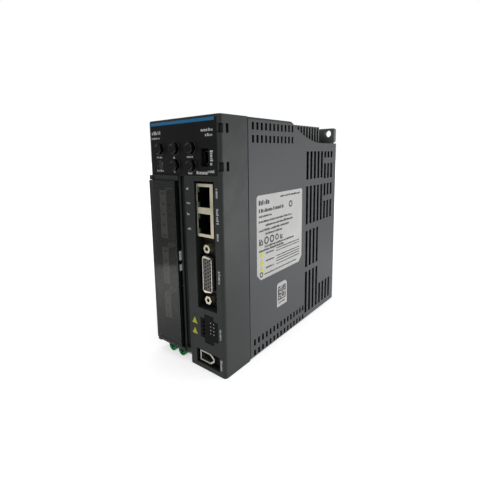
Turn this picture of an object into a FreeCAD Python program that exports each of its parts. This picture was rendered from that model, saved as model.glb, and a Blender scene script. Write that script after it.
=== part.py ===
"""Servo drive: an upright book-style motor drive, in millimetres.

Sizes are laid out on the case itself: x runs right from its left side, y runs back from the face of
the terminal cover, and z runs up from its underside. Every sub-part is then placed so that the
origin is the centre of the drive's base. Each function builds one sub-part, or a few that belong
together, from the sizes listed first.
"""
import FreeCAD, Part
import math
import os
import re
import Sketcher

DOC = FreeCAD.newDocument("servo_drive")
SHEET = DOC.addObject("Spreadsheet::Sheet", "Sizes")
SIZE = {}
SUBPARTS = []
PLANE = {"x": "YZ_Plane", "y": "XZ_Plane", "z": "XY_Plane"}
SHIFT = {"x": " - width / 2", "y": " - (cover_proud + case_depth) / 2", "z": ""}
TURN = {
    "x": FreeCAD.Rotation(FreeCAD.Vector(0, 1, 0), 90),
    "y": FreeCAD.Rotation(FreeCAD.Vector(1, 0, 0), -90),
    "z": FreeCAD.Rotation(),
}


# ---------------------------------------------------------------- sizes and expressions

def sizes(**cells):
    """Write named sizes into the sheet, one row each."""
    for alias, number in cells.items():
        row = len(SIZE) + 1
        SHEET.set(f"A{row}", alias)
        SHEET.set(f"B{row}", str(number))
        SHEET.setAlias(f"B{row}", alias)
        SIZE[alias] = number


def expression(text):
    """Turn a sum of size names into an expression on the sheet."""
    return re.sub(r"[a-z][a-z_]*", lambda word: f"Sizes.{word.group(0)}", text)


def bind(item, path, text):
    item.setExpression(path, expression(text))


def finish(item, label):
    """Name a finished sub-part after the file it is written to."""
    item.Label = label
    SUBPARTS.append(item)


# ---------------------------------------------------------------- sizes of the drive

# whole case
sizes(width=62, height=160, case_depth=156, cover_proud=3.3, wall=2, strap_rise=14)
# front bezel
sizes(bezel_depth=25, front_wall=3.2, edge_round=2.2, long_round=1.5,
      lip_from=21, lip_wall=1.2, lip_gap=0.15, lip_reach=3, lip_bite=0.3)
# connector bay
sizes(bay_left=39.6, bay_right=56.2, bay_low=41.6, bay_high=122.2, bay_depth=8, bay_wall=1.5,
      jack_left=40.2, jack_wide=13.6, jack_low=88, jack_tall=32.6, jack_gap=0.3,
      io_x=46.6, io_z=63.7, io_body_wide=10.2, io_body_tall=26, io_screw_span=33.3,
      io_stud_radius=1.5, io_stud_gap=0.05)
# ground notch and strap
sizes(notch_right=32, notch_high=7, notch_depth=12, notch_wall=2,
      strap_left=6, strap_wide=20, strap_low=2.4, strap_thick=1.5, strap_gap=0.3)
# terminal cover and its seat
sizes(cover_low=9.7, cover_high=121.8, cover_left=0.2, cover_right=25.3, cover_gap=0.3,
      seat_right=26.2, seat_depth=0.5, frame_right=27.6, groove_right=31.5, groove_depth=2,
      ledge_proud=1.5, ledge_tall=2.9, ledge_right=27,
      lug_wide=3, lug_proud=2.3, hinge_x=1.5, hinge_back=1, hinge_radius=0.6, hinge_run=0.05,
      hinge_length=4.2, hinge_bite=2, bay_frame=3.6, bay_edge=26.1, terminal_low=12,
      terminal_high=119)
# key area
sizes(film_left=0.8, film_right=59.6, film_low=125.2, film_high=158.6, film_thick=0.5,
      key_left=9.5, key_pitch=14.4, key_upper=142, key_lower=131.6, well_radius=3.75,
      lamp_x=9, lamp_z=131.8, lamp_radius=2.4, lamp_gap=0.2,
      window_left=13, window_right=44, window_low=147.6, window_high=155.6,
      port_left=46.4, port_right=52.8, port_low=130.8, port_high=141.3)
# safety connector and encoder openings
sizes(safety_left=41.5, safety_inner_left=45, safety_inner_right=52.8, safety_right=56.4,
      safety_z=28.7, safety_wing=6.6, safety_half=9.5, safety_gap=0.2,
      encoder_left=37, encoder_right=57.3, encoder_low=3, encoder_high=12.8)
# edge louvres
sizes(louvre_wrap=2.3, louvre_bite=2.6, louvre_tall=5.3, louvre_low=128, louvre_step=21.6,
      louvre_from=5, louvre_wide=2.3, louvre_count=2)
# rear housing
sizes(seam_gap=0.7, shell_back=0.5, roof_depth=77, floor_depth=98,
      dip_flat=128, dip_high=145.3, screw_shank=1.5, screw_gap=0.1,
      head_radius=2.9, screw_y=72.5, screw_low=30, screw_high=130)
# short slots
sizes(slot_pitch=4.8, slot_wide=2.4, slot_from=29.4, slot_tall=4.7,
      slot_top=152.4, slot_under=144.5, slot_rise=8.6, slot_foot=1.4, slot_short=4.2,
      slot_count_top=11, slot_count_low=15, slot_count_left=9)
# roof slots
sizes(roof_slot_from=33, roof_slot_wide=2.6, roof_slot_pitch=5.2, roof_slot_count=8,
      roof_slot_left=9, roof_slot_long=19, roof_slot_right=34)
# tall vents
sizes(vent_from=100.7, vent_pitch=6.3, vent_wide=3.7, vent_long_count=5, vent_split_count=3,
      vent_plain_count=4, top_vent_low=116.8, top_vent_high=138.7, top_split_low=128.6,
      top_split_high=133.2, top_split_foot=115.8,
      mid_vent_low=80.6, mid_vent_high=111.4, mid_split_low=96.4, mid_split_high=101,
      low_vent_low=45, low_vent_high=75.5, foot_vent_low=5.2, foot_vent_high=41,
      foot_short_high=24)
# label seats
sizes(label_front=37.1, label_back=97.7, label_low=53, label_high=110.8, label_corner=4.2, label_round=2.2,
      code_front=61.7, code_back=75.5, code_low=25.8, code_high=44, code_corner=2.2,
      seat_deep=0.3, label_thick=0.25)
# heat sink
sizes(spine_thick=4, spine_from=77.5, sink_top=158.5, sink_low=2.3, sink_wall_from=79,
      sink_wall_thick=4, sink_right=59.5, fin_from=87, fin_thick=1.2, fin_pitch=4.6, fin_count=14,
      fin_right=58, plate_from=152, plate_right=59.6, ear_wide=13.4, ear_right=61.4, ear_tall=12.2,
      ear_round=1.6, hole_inset=6.5, hole_z_top=153.9, wall_hole=3,
      access_from=131, access_wide=16, access_tall=15,
      tab_from=68, tab_inner=2.2, tab_thick=4, tab_tall=12, tapped=1.25,
      module_left=11, module_right=45, module_low=42, module_tall=34, bridge_x=22, bridge_low=96)
# case screws
sizes(case_screw_long=5.8, thread_ease=0.05, head_sunk=0.1)
# ground parts
sizes(tab_back=6, lug_thick=3, ground_high=6.7, ground_left=4.5, ground_wide=24, ground_z=3.5,
      ground_x=10.6, ground_pitch=9.9, ground_head=3.5, ground_head_from=1.5,
      ground_head_thick=2.6, washer_thick=0.9, washer_radius=3.5, ground_shank=2,
      ground_long=7.4, ground_fit=0.06, slot_cut_wide=0.9, slot_cut_deep=1.1, slot_cut_long=4.6,
      strap_back=0.2)
# cover walls and hinge pins
sizes(cover_thick=1.4, cover_roll=1.3, cover_lip=0.4, cover_end_back=0.1, cover_edge=0.6,
      cover_bore_deep=2.6)
# terminal blocks
sizes(input_low=81.5, input_poles=5, brake_low=49.5, brake_poles=4, motor_low=24.5,
      motor_poles=3, pole_pitch=7, header_left=6, header_right=22.6, header_from=5.4,
      header_depth=15, header_wall=1.2, header_floor=2, plug_gap=0.2, plug_proud=0.7,
      plug_depth=12, entry_x=16.6, entry_size=3.4, entry_depth=7, driver_x=10.6,
      driver_wide=3, driver_tall=1.6, driver_depth=5, contact_wide=1, contact_tall=0.8,
      contact_from=15.5, contact_long=8, contact_gap=0.15)
# latch tabs
sizes(latch_wide=1.6, latch_from=0.8, latch_deep=12, latch_thick=1.2, latch_tip=26,
      latch_tip_wide=0.55, latch_proud=1.4, latch_upper=70.2, latch_upper_tall=6,
      latch_lower=63.2, latch_lower_tall=4, latch_ease=0.1)
# films
sizes(stripe_low=156.7, stripe_right=57.6, stripe_gap=0.05, film_play=0.05)
# keys and lamp
sizes(cap_radius=3.5, cap_proud=2.9, cap_edge=0.6, dish_depth=0.6, dish_radius=2.7, dish_floor=2,
      lens_sunk=0.3, flange_from=3.4, flange_thick=0.9, flange_radius=4.6, stem_radius=1.6, stem_long=0.9)
# display board and switches
sizes(display_from=9, display_thick=1.6, display_left=4, display_right=44.4, display_low=126.6,
      display_high=156.6, module_from=3.5, module_low_edge=147.2, module_high_edge=156,
      digit_count=5, digit_wide=4.2, digit_tall=6.4, digit_pitch=5.8, digit_left=15.6,
      digit_deep=0.4, digit_low=148.4,
      switch_size=6, switch_from=6.6, plunger_radius=1.4, plunger_long=0.5, switch_ease=0.05)
# service port
sizes(surround_left=46, surround_right=54.2, surround_low=130.2, surround_high=142,
      surround_deep=9, surround_from=3.3, usb_x=49.4, usb_z=136, usb_half_wide=2,
      usb_half_tall=3.9, usb_wall=0.35, usb_from=2.2, usb_deep=9.2, usb_taper=1.3,
      tongue_wide=1, tongue_tall=5, tongue_from=3.4, usb_fit=0.05)
# network jack
sizes(jack_from=1.5, jack_deep=20.5, shield_wall=0.4, port_middle=104.3, port_pitch=16.4,
      port_tall=12.4, port_open_left=42.9, port_open_right=51.3, latch_left=41.2, notch_tall=5.6,
      port_deep=14, insert_gap=0.05, pipe_left=40.9, pipe_wide=1.5, pipe_tall=2.6, pipe_step=4.5,
      pipe_deep=11, pipe_proud=0.1, wire_x=50.3, wire_wide=0.5, wire_thick=0.35, wire_pitch=1.02,
      wire_from=6, wire_long=8, wire_count=8)
# input and output socket
sizes(shell_half_wide=3.95, shell_long_half=12.3, shell_short_half=11, shell_round=2,
      shell_from=2.1, shell_wall=0.45, plate_thick=0.8, plate_half_wide=6.2, plate_half_tall=19.6,
      insulator_from=2.9, insulator_gap=0.06, insulator_back=14, contact_hole=0.7,
      tube_radius=0.5, tube_sunk=2.2, tube_long=8, column_step=1.98, row_step=2.29,
      screw_from=2.3, screw_flat=2.9, screw_bore=1.25, screw_bore_deep=4, stud_long=5)
# safety connector
sizes(safety_from=3.3, safety_deep=7, safety_wall=1, safety_floor=1.4, safety_ease=0.2,
      plug_from=0.1, plug_back=8.7, pin_x=50, pin_step_x=2.6, pin_step_z=2.35, pin_radius=0.4,
      pin_way=0.5, pin_from=5.2, pin_long=6.4, tip_radius=0.5, tip_long=3.6, tip_sunk=0.25,
      finger_x=44.1, finger_step=2.65, finger_wide=1.9, finger_tall=1.5, finger_deep=1.6)
# encoder socket
sizes(ring_left=38.9, ring_right=51.3, ring_low=4.2, ring_high=11.3, ring_taper=2.4,
      ring_taper_x=3, ring_wall=0.8, ring_from=1.4, ring_deep=8.4, ring_fit=0.05,
      insert_left=36.2, insert_right=58, insert_low=2.3, insert_high=13.6, insert_from=3.4,
      insert_deep=6.8, bar_left=41.2, bar_right=48.6, bar_low=7, bar_high=8.6, bar_from=3.6)
# boards
sizes(board_thick=1.6, control_x=54.4, control_from=10.6, control_deep=63, control_low=4,
      control_tall=152, power_x=4.2, power_from=22, power_deep=43.5, power_low=9,
      power_tall=141, spacer_radius=2.6, spacer_ease=0.1, board_hole=1.6,
      control_hole_front=34, control_hole_back=68, power_hole_front=33, power_hole_back=61,
      hole_low=14, hole_high=144, board_screw_head=2.6, board_screw_thick=1.6,
      box_wide=6, box_long=22, box_thick=7, link_y=30, link_z=22, ribbon_thick=1)
# power parts
sizes(part_ease=0.1, can_radius=11.5, can_long=34, can_y=40, can_first=62, can_pitch=25,
      can_count=3, can_collar=0.4, can_collar_long=2, can_vent=0.3,
      module_thick=6, module_pad=0.3, module_screw_head=2.8, module_screw_thick=2,
      module_wing=6, bridge_wide=22, bridge_tall=17, bridge_thick=4,
      relay_from=53.5, relay_deep=10.5, relay_low=90, relay_tall=28, relay_wide=15,
      choke_y=40, choke_z=38, choke_ring=8, choke_core=3.4, film_wide=12, film_deep=9,
      film_tall=18, film_y=54, film_z=22)
RUN = SIZE["dip_flat"] - SIZE["roof_depth"]
FALL = SIZE["height"] - SIZE["dip_high"]
sizes(dip_radius=(RUN ** 2 + FALL ** 2) / (2 * FALL))
SHEET.recompute()


# ---------------------------------------------------------------- primitives and booleans

def block(name, x, y, z):
    """Box whose x, y and z are pairs: where it starts, and its size."""
    item = DOC.addObject("Part::Box", name)
    for side, axis, (start, length) in (("Length", "x", x), ("Width", "y", y), ("Height", "z", z)):
        bind(item, side, length)
        bind(item, f"Placement.Base.{axis}", start + SHIFT[axis])
    return item


def rod(name, axis, radius, length, x, y, z, kind="Part::Cylinder"):
    """Cylinder along an axis from the point x, y, z; a kind of Part::Prism makes it hexagonal."""
    item = DOC.addObject(kind, name)
    if kind == "Part::Prism":
        item.Polygon = 6
        bind(item, "Circumradius", radius)
    else:
        bind(item, "Radius", radius)
    bind(item, "Height", length)
    item.Placement = FreeCAD.Placement(FreeCAD.Vector(), TURN[axis])
    for way, start in zip("xyz", (x, y, z)):
        bind(item, f"Placement.Base.{way}", start + SHIFT[way])
    return item


def taper(name, axis, first, last, length, x, y, z):
    """Cone along an axis from the point x, y, z, between a first and a last radius."""
    item = DOC.addObject("Part::Cone", name)
    bind(item, "Radius1", first)
    bind(item, "Radius2", last)
    bind(item, "Height", length)
    item.Placement = FreeCAD.Placement(FreeCAD.Vector(), TURN[axis])
    for way, start in zip("xyz", (x, y, z)):
        bind(item, f"Placement.Base.{way}", start + SHIFT[way])
    return item


def fuse(name, *items):
    """Join shapes; ones that stay apart remain separate solids of one group."""
    result = DOC.addObject("Part::MultiFuse", name)
    result.Shapes = list(items)
    return result


def cut(name, base, *tools):
    result = DOC.addObject("Part::Cut", name)
    result.Base = base
    result.Tool = tools[0] if len(tools) == 1 else fuse(f"{name}_tools", *tools)
    return result


# ---------------------------------------------------------------- bodies, sketches and features

def new_body(label):
    body = DOC.addObject("PartDesign::Body", label)
    bind(body, "Placement.Base.x", "-width / 2")
    bind(body, "Placement.Base.y", "-(cover_proud + case_depth) / 2")
    finish(body, label)
    return body


def origin_feature(body, role):
    return next(item for item in body.Origin.OriginFeatures if item.Role == role)


def rect(left, low, right, high):
    return ((left, low), (right, low), (right, high), (left, high))


def disc(x, y, radius):
    return ("disc", x, y, radius)


def pin_point(sketch, geometry, corner, x, y, drawn=(1.0, 1.0)):
    """Hold one point of a sketch at distances x and y from the sketch's origin."""
    for kind, distance, first in (("DistanceX", x, drawn[0]), ("DistanceY", y, drawn[1])):
        index = sketch.addConstraint(Sketcher.Constraint(kind, -1, 1, geometry, corner, first))
        sketch.setExpression(f"Constraints[{index}]", expression(distance))


def draw_disc(sketch, x, y, radius):
    circle = sketch.addGeometry(Part.Circle(FreeCAD.Vector(), FreeCAD.Vector(0, 0, 1), 1.0), False)
    pin_point(sketch, circle, 3, x, y)
    index = sketch.addConstraint(Sketcher.Constraint("Radius", circle, 1.0))
    sketch.setExpression(f"Constraints[{index}]", expression(radius))


def draw_outline(sketch, corners):
    """Closed outline of straight lines through its corners."""
    count = len(corners)
    first = sketch.GeometryCount
    turns = [2 * math.pi * step / count for step in range(count + 1)]
    ring = [FreeCAD.Vector(math.cos(turn), math.sin(turn), 0) for turn in turns]
    for start, end in zip(ring, ring[1:]):
        sketch.addGeometry(Part.LineSegment(start, end), False)
    for step in range(count):
        after = first + (step + 1) % count
        sketch.addConstraint(Sketcher.Constraint("Coincident", first + step, 2, after, 1))
    for step, (x, y) in enumerate(corners):
        pin_point(sketch, first + step, 1, x, y)


def sketch_on(body, axis, start, shapes):
    """Sketch square to an axis. Its own x and y are the other two axes, in x, y, z order."""
    sketch = body.newObject("Sketcher::SketchObject", f"{body.Name}_sketch")
    sketch.AttachmentSupport = [(origin_feature(body, PLANE[axis]), "")]
    sketch.MapMode = "FlatFace"
    bind(sketch, "AttachmentOffset.Base.z", f"-({start})" if axis == "y" else start)
    for shape in shapes:
        if shape[0] == "disc":
            draw_disc(sketch, *shape[1:])
        else:
            draw_outline(sketch, shape)
    return sketch


def pad(body, axis, start, length, *shapes):
    """Add material from a start along the axis' positive way."""
    feature = body.newObject("PartDesign::Pad", f"{body.Name}_pad")
    feature.Profile = sketch_on(body, axis, start, shapes)
    bind(feature, "Length", length)
    feature.Reversed = axis == "y"
    body.Tip = feature
    return feature


def pocket(body, axis, start, length, *shapes):
    """Take material away from a start along the axis' positive way, and check that it went."""
    DOC.recompute()
    before = body.Shape.Volume
    feature = body.newObject("PartDesign::Pocket", f"{body.Name}_pocket")
    feature.Profile = sketch_on(body, axis, start, shapes)
    bind(feature, "Length", length)
    feature.Reversed = axis != "y"
    body.Tip = feature
    DOC.recompute()
    if body.Shape.Volume >= before:
        raise RuntimeError(f"{feature.Name} cuts nothing")
    return feature


def repeat(body, feature, axis, pitch, count):
    """Repeat a feature along an axis."""
    pattern = body.newObject("PartDesign::LinearPattern", f"{body.Name}_pattern")
    pattern.Originals = [feature]
    pattern.Direction = (origin_feature(body, f"{axis.upper()}_Axis"), [""])
    bind(pattern, "Length", f"{pitch} * ({count} - 1)")
    bind(pattern, "Occurrences", count)
    body.Tip = pattern
    return pattern


def edges_at(body, **place):
    """Names of the straight edges whose middles lie at all the places given."""
    DOC.recompute()
    found = []
    for index, edge in enumerate(body.Tip.Shape.Edges):
        middle = edge.CenterOfMass
        near = all(abs(getattr(middle, axis) - value) < 0.01 for axis, value in place.items())
        if near and edge.Curve.TypeId == "Part::GeomLine":
            found.append(f"Edge{index + 1}")
    if not found:
        raise RuntimeError(f"{body.Name} has no edge at {place}")
    return found


def soften(body, radius, names, kind="Fillet"):
    """Round or chamfer edges of the body as it stands."""
    feature = body.newObject(f"PartDesign::{kind}", f"{body.Name}_edge")
    feature.Base = (body.Tip if body.Tip != feature else feature.BaseFeature, names)
    bind(feature, "Radius" if kind == "Fillet" else "Size", radius)
    body.Tip = feature
    DOC.recompute()
    if not feature.isValid():
        raise RuntimeError(f"{feature.Name} failed")


# ---------------------------------------------------------------- the case

def build_front_bezel():
    """Front shell: key area on top, terminal zone at left, connector column at right."""
    body = new_body("front_bezel")
    pad(body, "y", "cover_proud", "bezel_depth", rect("0", "0", "width", "height"))
    front = SIZE["cover_proud"]
    middle = front + SIZE["bezel_depth"] / 2
    soften(body, "edge_round", edges_at(body, x=SIZE["width"], y=front))
    long_edges = edges_at(body, y=middle, z=SIZE["height"]) + edges_at(body, y=middle, z=0)
    soften(body, "long_round", long_edges)
    pocket(body, "y", "cover_proud + front_wall", "bezel_depth - front_wall",
           rect("wall", "wall", "width - wall", "height - wall"))
    add_lip(body)
    add_connector_bay(body)
    add_ground_notch(body)
    add_terminal_zone(body)
    cut_key_area(body)
    cut_port_openings(body)
    cut_louvres(body)


def add_lip(body):
    """Tongue round the back edge, which enters the rear housing."""
    inner = rect("wall + lip_wall", "wall + lip_wall",
                 "width - wall - lip_wall", "height - wall - lip_wall")
    pad(body, "y", "cover_proud + lip_from", "bezel_depth - lip_from",
        rect("wall - lip_bite", "wall - lip_bite",
             "width - wall + lip_bite", "height - wall + lip_bite"), inner)
    pad(body, "y", "cover_proud + lip_from", "bezel_depth - lip_from + lip_reach",
        rect("wall + lip_gap", "wall + lip_gap",
             "width - wall - lip_gap", "height - wall - lip_gap"), inner)
    pocket(body, "y", "cover_proud + lip_from", "bezel_depth - lip_from + lip_reach",
           rect("strap_left - strap_gap", "wall", "strap_left + strap_wide + strap_gap",
                "wall + lip_wall"))


def add_connector_bay(body):
    """Deep bay that holds the network jack and the input/output socket."""
    pad(body, "y", "cover_proud", "bay_depth + bay_wall",
        rect("bay_left - bay_wall", "bay_low - bay_wall", "bay_right + bay_wall", "bay_high + bay_wall"))
    pocket(body, "y", "cover_proud", "bay_depth", rect("bay_left", "bay_low", "bay_right", "bay_high"))
    pocket(body, "y", "cover_proud + bay_depth", "bay_wall",
           rect("jack_left - jack_gap", "jack_low - jack_gap",
                "jack_left + jack_wide + jack_gap", "jack_low + jack_tall + jack_gap"),
           rect("io_x - io_body_wide / 2 - jack_gap", "io_z - io_body_tall / 2 - jack_gap",
                "io_x + io_body_wide / 2 + jack_gap", "io_z + io_body_tall / 2 + jack_gap"),
           disc("io_x", "io_z - io_screw_span / 2", "io_stud_radius + io_stud_gap"),
           disc("io_x", "io_z + io_screw_span / 2", "io_stud_radius + io_stud_gap"))


def add_ground_notch(body):
    """Step in the lower left corner, where the ground screws stand in the open."""
    pad(body, "y", "cover_proud", "notch_depth + notch_wall",
        rect("0", "0", "notch_right + notch_wall", "notch_high + notch_wall"))
    pocket(body, "y", "cover_proud", "notch_depth",
           rect("-wall", "-wall", "notch_right", "notch_high"))
    pocket(body, "y", "cover_proud + notch_depth", "notch_wall",
           rect("strap_left - strap_gap", "strap_low - strap_gap",
                "strap_left + strap_wide + strap_gap", "strap_low + strap_thick + strap_gap"))


def add_terminal_zone(body):
    """Seat, ledges, hinge lugs, opening and side groove of the terminal cover."""
    for name, low, high in (("low", "notch_high", "cover_low - cover_gap"),
                            ("high", "cover_high + cover_gap", "cover_high + cover_gap + ledge_tall")):
        pad(body, "y", "cover_proud - ledge_proud", "ledge_proud + front_wall",
            rect("0", low, "ledge_right", high))
        pad(body, "y", "cover_proud - lug_proud", "lug_proud + front_wall",
            rect("0", low, "lug_wide", high))
        start = "cover_low - cover_gap - hinge_bite" if name == "low" else "cover_high + cover_gap"
        pocket(body, "z", start, "hinge_bite",
               disc("hinge_x", "cover_proud - hinge_back", "hinge_radius + hinge_run"))
    pocket(body, "y", "cover_proud", "seat_depth",
           rect("-wall", "cover_low - cover_gap", "seat_right", "cover_high + cover_gap"))
    pocket(body, "y", "cover_proud", "front_wall",
           rect("bay_frame", "terminal_low", "bay_edge", "terminal_high"))
    pocket(body, "y", "cover_proud", "groove_depth",
           rect("frame_right", "cover_low", "groove_right", "cover_high + cover_gap + ledge_tall"))


KEYS = ("mode_button", "up_button", "shift_button", "down_button", "set_button")
KEY_PLACE = {
    "mode_button": ("key_left", "key_upper"),
    "up_button": ("key_left + key_pitch", "key_upper"),
    "shift_button": ("key_left + 2 * key_pitch", "key_upper"),
    "down_button": ("key_left + key_pitch", "key_lower"),
    "set_button": ("key_left + 2 * key_pitch", "key_lower"),
}


def cut_key_area(body):
    """Shallow recess for the overlay film, with its wells, window and port opening."""
    pocket(body, "y", "cover_proud", "film_thick",
           rect("film_left", "film_low", "film_right", "film_high"))
    wells = [disc(x, z, "well_radius") for x, z in KEY_PLACE.values()]
    pocket(body, "y", "cover_proud", "front_wall",
           disc("lamp_x", "lamp_z", "lamp_radius + lamp_gap"),
           rect("window_left", "window_low", "window_right", "window_high"),
           rect("port_left", "port_low", "port_right", "port_high"), *wells)


def stepped_outline(grow):
    """Outline of the safety connector: a tall middle with a shorter wing on each side."""
    left, right = f"safety_left - {grow}", f"safety_right + {grow}"
    inner_left, inner_right = f"safety_inner_left - {grow}", f"safety_inner_right + {grow}"
    wing_low, wing_high = f"safety_z - safety_wing - {grow}", f"safety_z + safety_wing + {grow}"
    low, high = f"safety_z - safety_half - {grow}", f"safety_z + safety_half + {grow}"
    return ((left, wing_low), (inner_left, wing_low), (inner_left, low), (inner_right, low),
            (inner_right, wing_low), (right, wing_low), (right, wing_high), (inner_right, wing_high),
            (inner_right, high), (inner_left, high), (inner_left, wing_high), (left, wing_high))


def cut_port_openings(body):
    """Openings of the safety connector and of the encoder socket."""
    pocket(body, "y", "cover_proud", "front_wall",
           stepped_outline("safety_gap"),
           rect("encoder_left", "encoder_low", "encoder_right", "encoder_high"))


def cut_louvres(body):
    """Two pairs of short slots by the front right edge; one of each pair wraps the edge."""
    for start, length, left in (("cover_proud", "louvre_bite", "width - louvre_wrap"),
                                ("cover_proud + louvre_from", "louvre_wide", "width - wall")):
        slot = pocket(body, "y", start, length,
                      rect(left, "louvre_low", "width + wall", "louvre_low + louvre_tall"))
        repeat(body, slot, "z", "louvre_step", "louvre_count")


def build_rear_housing():
    """Rear shell: full right wall with vents, and short left, top and bottom walls."""
    body = new_body("rear_housing")
    start = "cover_proud + bezel_depth + seam_gap"
    length = "case_depth - bezel_depth - seam_gap - shell_back"
    pad(body, "y", start, length, rect("0", "0", "width", "height"))
    middle = SIZE["cover_proud"] + (SIZE["bezel_depth"] + SIZE["seam_gap"]
                                    + SIZE["case_depth"] - SIZE["shell_back"]) / 2
    long_edges = edges_at(body, y=middle, z=SIZE["height"]) + edges_at(body, y=middle, z=0)
    soften(body, "long_round", long_edges)
    pocket(body, "y", start, length, rect("wall", "wall", "width - wall", "height - wall"))
    back = "case_depth - roof_depth"
    pocket(body, "y", "cover_proud + roof_depth", back,
           rect("-wall", "wall", "width - wall", "height + wall"))
    pocket(body, "y", "cover_proud + floor_depth", "case_depth - floor_depth",
           rect("-wall", "-wall", "width - wall", "height / 2"))
    cut_dip(body)
    cut_small_slots(body)
    cut_long_vents(body)
    cut_label_seats(body)
    cut_case_screw_holes(body)


def cut_dip(body):
    """Curved dip in the rear top of the right wall: an arc that runs out level."""
    start, flat = SIZE["roof_depth"] + SIZE["cover_proud"], SIZE["dip_flat"] + SIZE["cover_proud"]
    low, high = SIZE["dip_high"], SIZE["height"]
    radius = SIZE["dip_radius"]
    sketch = body.newObject("Sketcher::SketchObject", "rear_housing_dip")
    sketch.AttachmentSupport = [(origin_feature(body, PLANE["x"]), "")]
    sketch.MapMode = "FlatFace"
    bind(sketch, "AttachmentOffset.Base.z", "width - 2 * wall")
    centre = FreeCAD.Vector(flat, low + radius, 0)
    sweep = math.asin(RUN / radius)
    floor = 1.5 * math.pi
    circle = Part.Circle(centre, FreeCAD.Vector(0, 0, 1), radius)
    arc = sketch.addGeometry(Part.ArcOfCircle(circle, floor - sweep, floor), False)
    back, top = SIZE["cover_proud"] + SIZE["case_depth"] + SIZE["wall"], high + SIZE["wall"]
    corners = [(flat, low), (back, low), (back, top), (start, top), (start, high)]
    ring = [FreeCAD.Vector(x, y, 0) for x, y in corners]
    for here, there in zip(ring, ring[1:]):
        sketch.addGeometry(Part.LineSegment(here, there), False)
    for line in range(4):
        sketch.addConstraint(Sketcher.Constraint("Coincident", line, 2, line + 1, 1))
    sketch.addConstraint(Sketcher.Constraint("Coincident", 4, 2, arc, 1))
    back_text = "cover_proud + case_depth + wall"
    pin_point(sketch, arc, 1, "cover_proud + roof_depth", "height", corners[4])
    pin_point(sketch, arc, 2, "cover_proud + dip_flat", "dip_high", corners[0])
    pin_point(sketch, 2, 1, back_text, "dip_high", corners[1])
    pin_point(sketch, 3, 1, back_text, "height + wall", corners[2])
    pin_point(sketch, 4, 1, "cover_proud + roof_depth", "height + wall", corners[3])
    index = sketch.addConstraint(Sketcher.Constraint("Radius", arc, radius))
    sketch.setExpression(f"Constraints[{index}]", "Sizes.dip_radius")
    feature = body.newObject("PartDesign::Pocket", "rear_housing_dip_cut")
    feature.Profile = sketch
    bind(feature, "Length", "3 * wall")
    feature.Reversed = True
    body.Tip = feature


def cut_small_slots(body):
    """Two rows of short slots along the top of both walls, and two along the bottom."""
    start, end = "cover_proud + slot_from", "cover_proud + slot_from + slot_wide"
    upper = (rect(start, "slot_top", end, "slot_top + slot_tall"),
             rect(start, "slot_under", end, "slot_under + slot_tall"))
    lower = (rect(start, "slot_rise", end, "slot_rise + slot_tall"),
             rect(start, "slot_foot", end, "slot_foot + slot_short"))
    for shapes, left, count in ((upper, "width - wall", "slot_count_top"),
                                (lower, "width - wall", "slot_count_low"),
                                (upper + lower, "-wall", "slot_count_left")):
        slot = pocket(body, "x", left, "2 * wall", *shapes)
        repeat(body, slot, "y", "slot_pitch", count)
    start, end = "cover_proud + roof_slot_from", "cover_proud + roof_slot_from + roof_slot_wide"
    for level in ("height - wall", "-wall"):
        slot = pocket(body, "z", level, "2 * wall",
                      rect("roof_slot_left", start, "roof_slot_left + roof_slot_long", end),
                      rect("roof_slot_right", start, "roof_slot_right + roof_slot_long", end))
        repeat(body, slot, "y", "roof_slot_pitch", "roof_slot_count")


def cut_long_vents(body):
    """Tall vents beside the fins, in columns; some are split or shortened."""

    def columns(first, count, *spans):
        start = f"cover_proud + vent_from + {first} * vent_pitch"
        shapes = [rect(start, low, f"{start} + vent_wide", high) for low, high in spans]
        vents = pocket(body, "x", "width - wall", "2 * wall", *shapes)
        repeat(body, vents, "y", "vent_pitch", count)

    columns("0", "vent_long_count", ("top_vent_low", "top_vent_high"), ("mid_vent_low", "mid_vent_high"))
    columns("vent_long_count", "vent_split_count",
            ("top_split_high", "top_vent_high"), ("top_split_foot", "top_split_low"),
            ("mid_split_high", "mid_vent_high"), ("mid_vent_low", "mid_split_low"))
    columns("0", "vent_plain_count", ("low_vent_low", "low_vent_high"), ("foot_vent_low", "foot_vent_high"))
    columns("vent_plain_count", "vent_plain_count", ("foot_vent_low", "foot_short_high"))


LABEL_OUTLINE = (
    ("label_front", "label_low + label_corner"), ("label_front + label_corner", "label_low"),
    ("label_back - label_corner", "label_low"), ("label_back", "label_low + label_corner"),
    ("label_back", "label_high"), ("label_front", "label_high"))
CODE_OUTLINE = (
    ("code_front", "code_low"), ("code_back", "code_low"), ("code_back", "code_high - code_corner"),
    ("code_back - code_corner", "code_high"), ("code_front", "code_high"))


def cut_label_seats(body):
    """Shallow seats in the right wall for the two labels."""
    pocket(body, "x", "width - seat_deep", "wall", LABEL_OUTLINE, CODE_OUTLINE)


def cut_case_screw_holes(body):
    """Countersunk holes in the left wall for the two case screws."""
    for level in ("screw_low", "screw_high"):
        pocket(body, "x", "-wall", "2 * wall",
               disc("cover_proud + screw_y", level, "screw_shank + screw_gap"))
        pocket(body, "x", "-wall", "2 * wall - wall / 2",
               disc("cover_proud + screw_y", level, "head_radius + screw_gap"))


def build_labels():
    """Rating label and small code label, thin plates in their seats."""
    middle = SIZE["width"] - SIZE["seat_deep"] + SIZE["label_thick"] / 2
    for label, outline, top, sides in (
            ("rating_label", LABEL_OUTLINE, "label_high", ("label_front", "label_back")),
            ("code_label", CODE_OUTLINE, "code_high", ("code_front",))):
        body = new_body(label)
        pad(body, "x", "width - seat_deep", "label_thick", outline)
        corners = [edges_at(body, x=middle, y=SIZE[side], z=SIZE[top])
                   for side in sides]
        soften(body, "label_round", sum(corners, []))


# ---------------------------------------------------------------- heat sink and its fasteners

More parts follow.
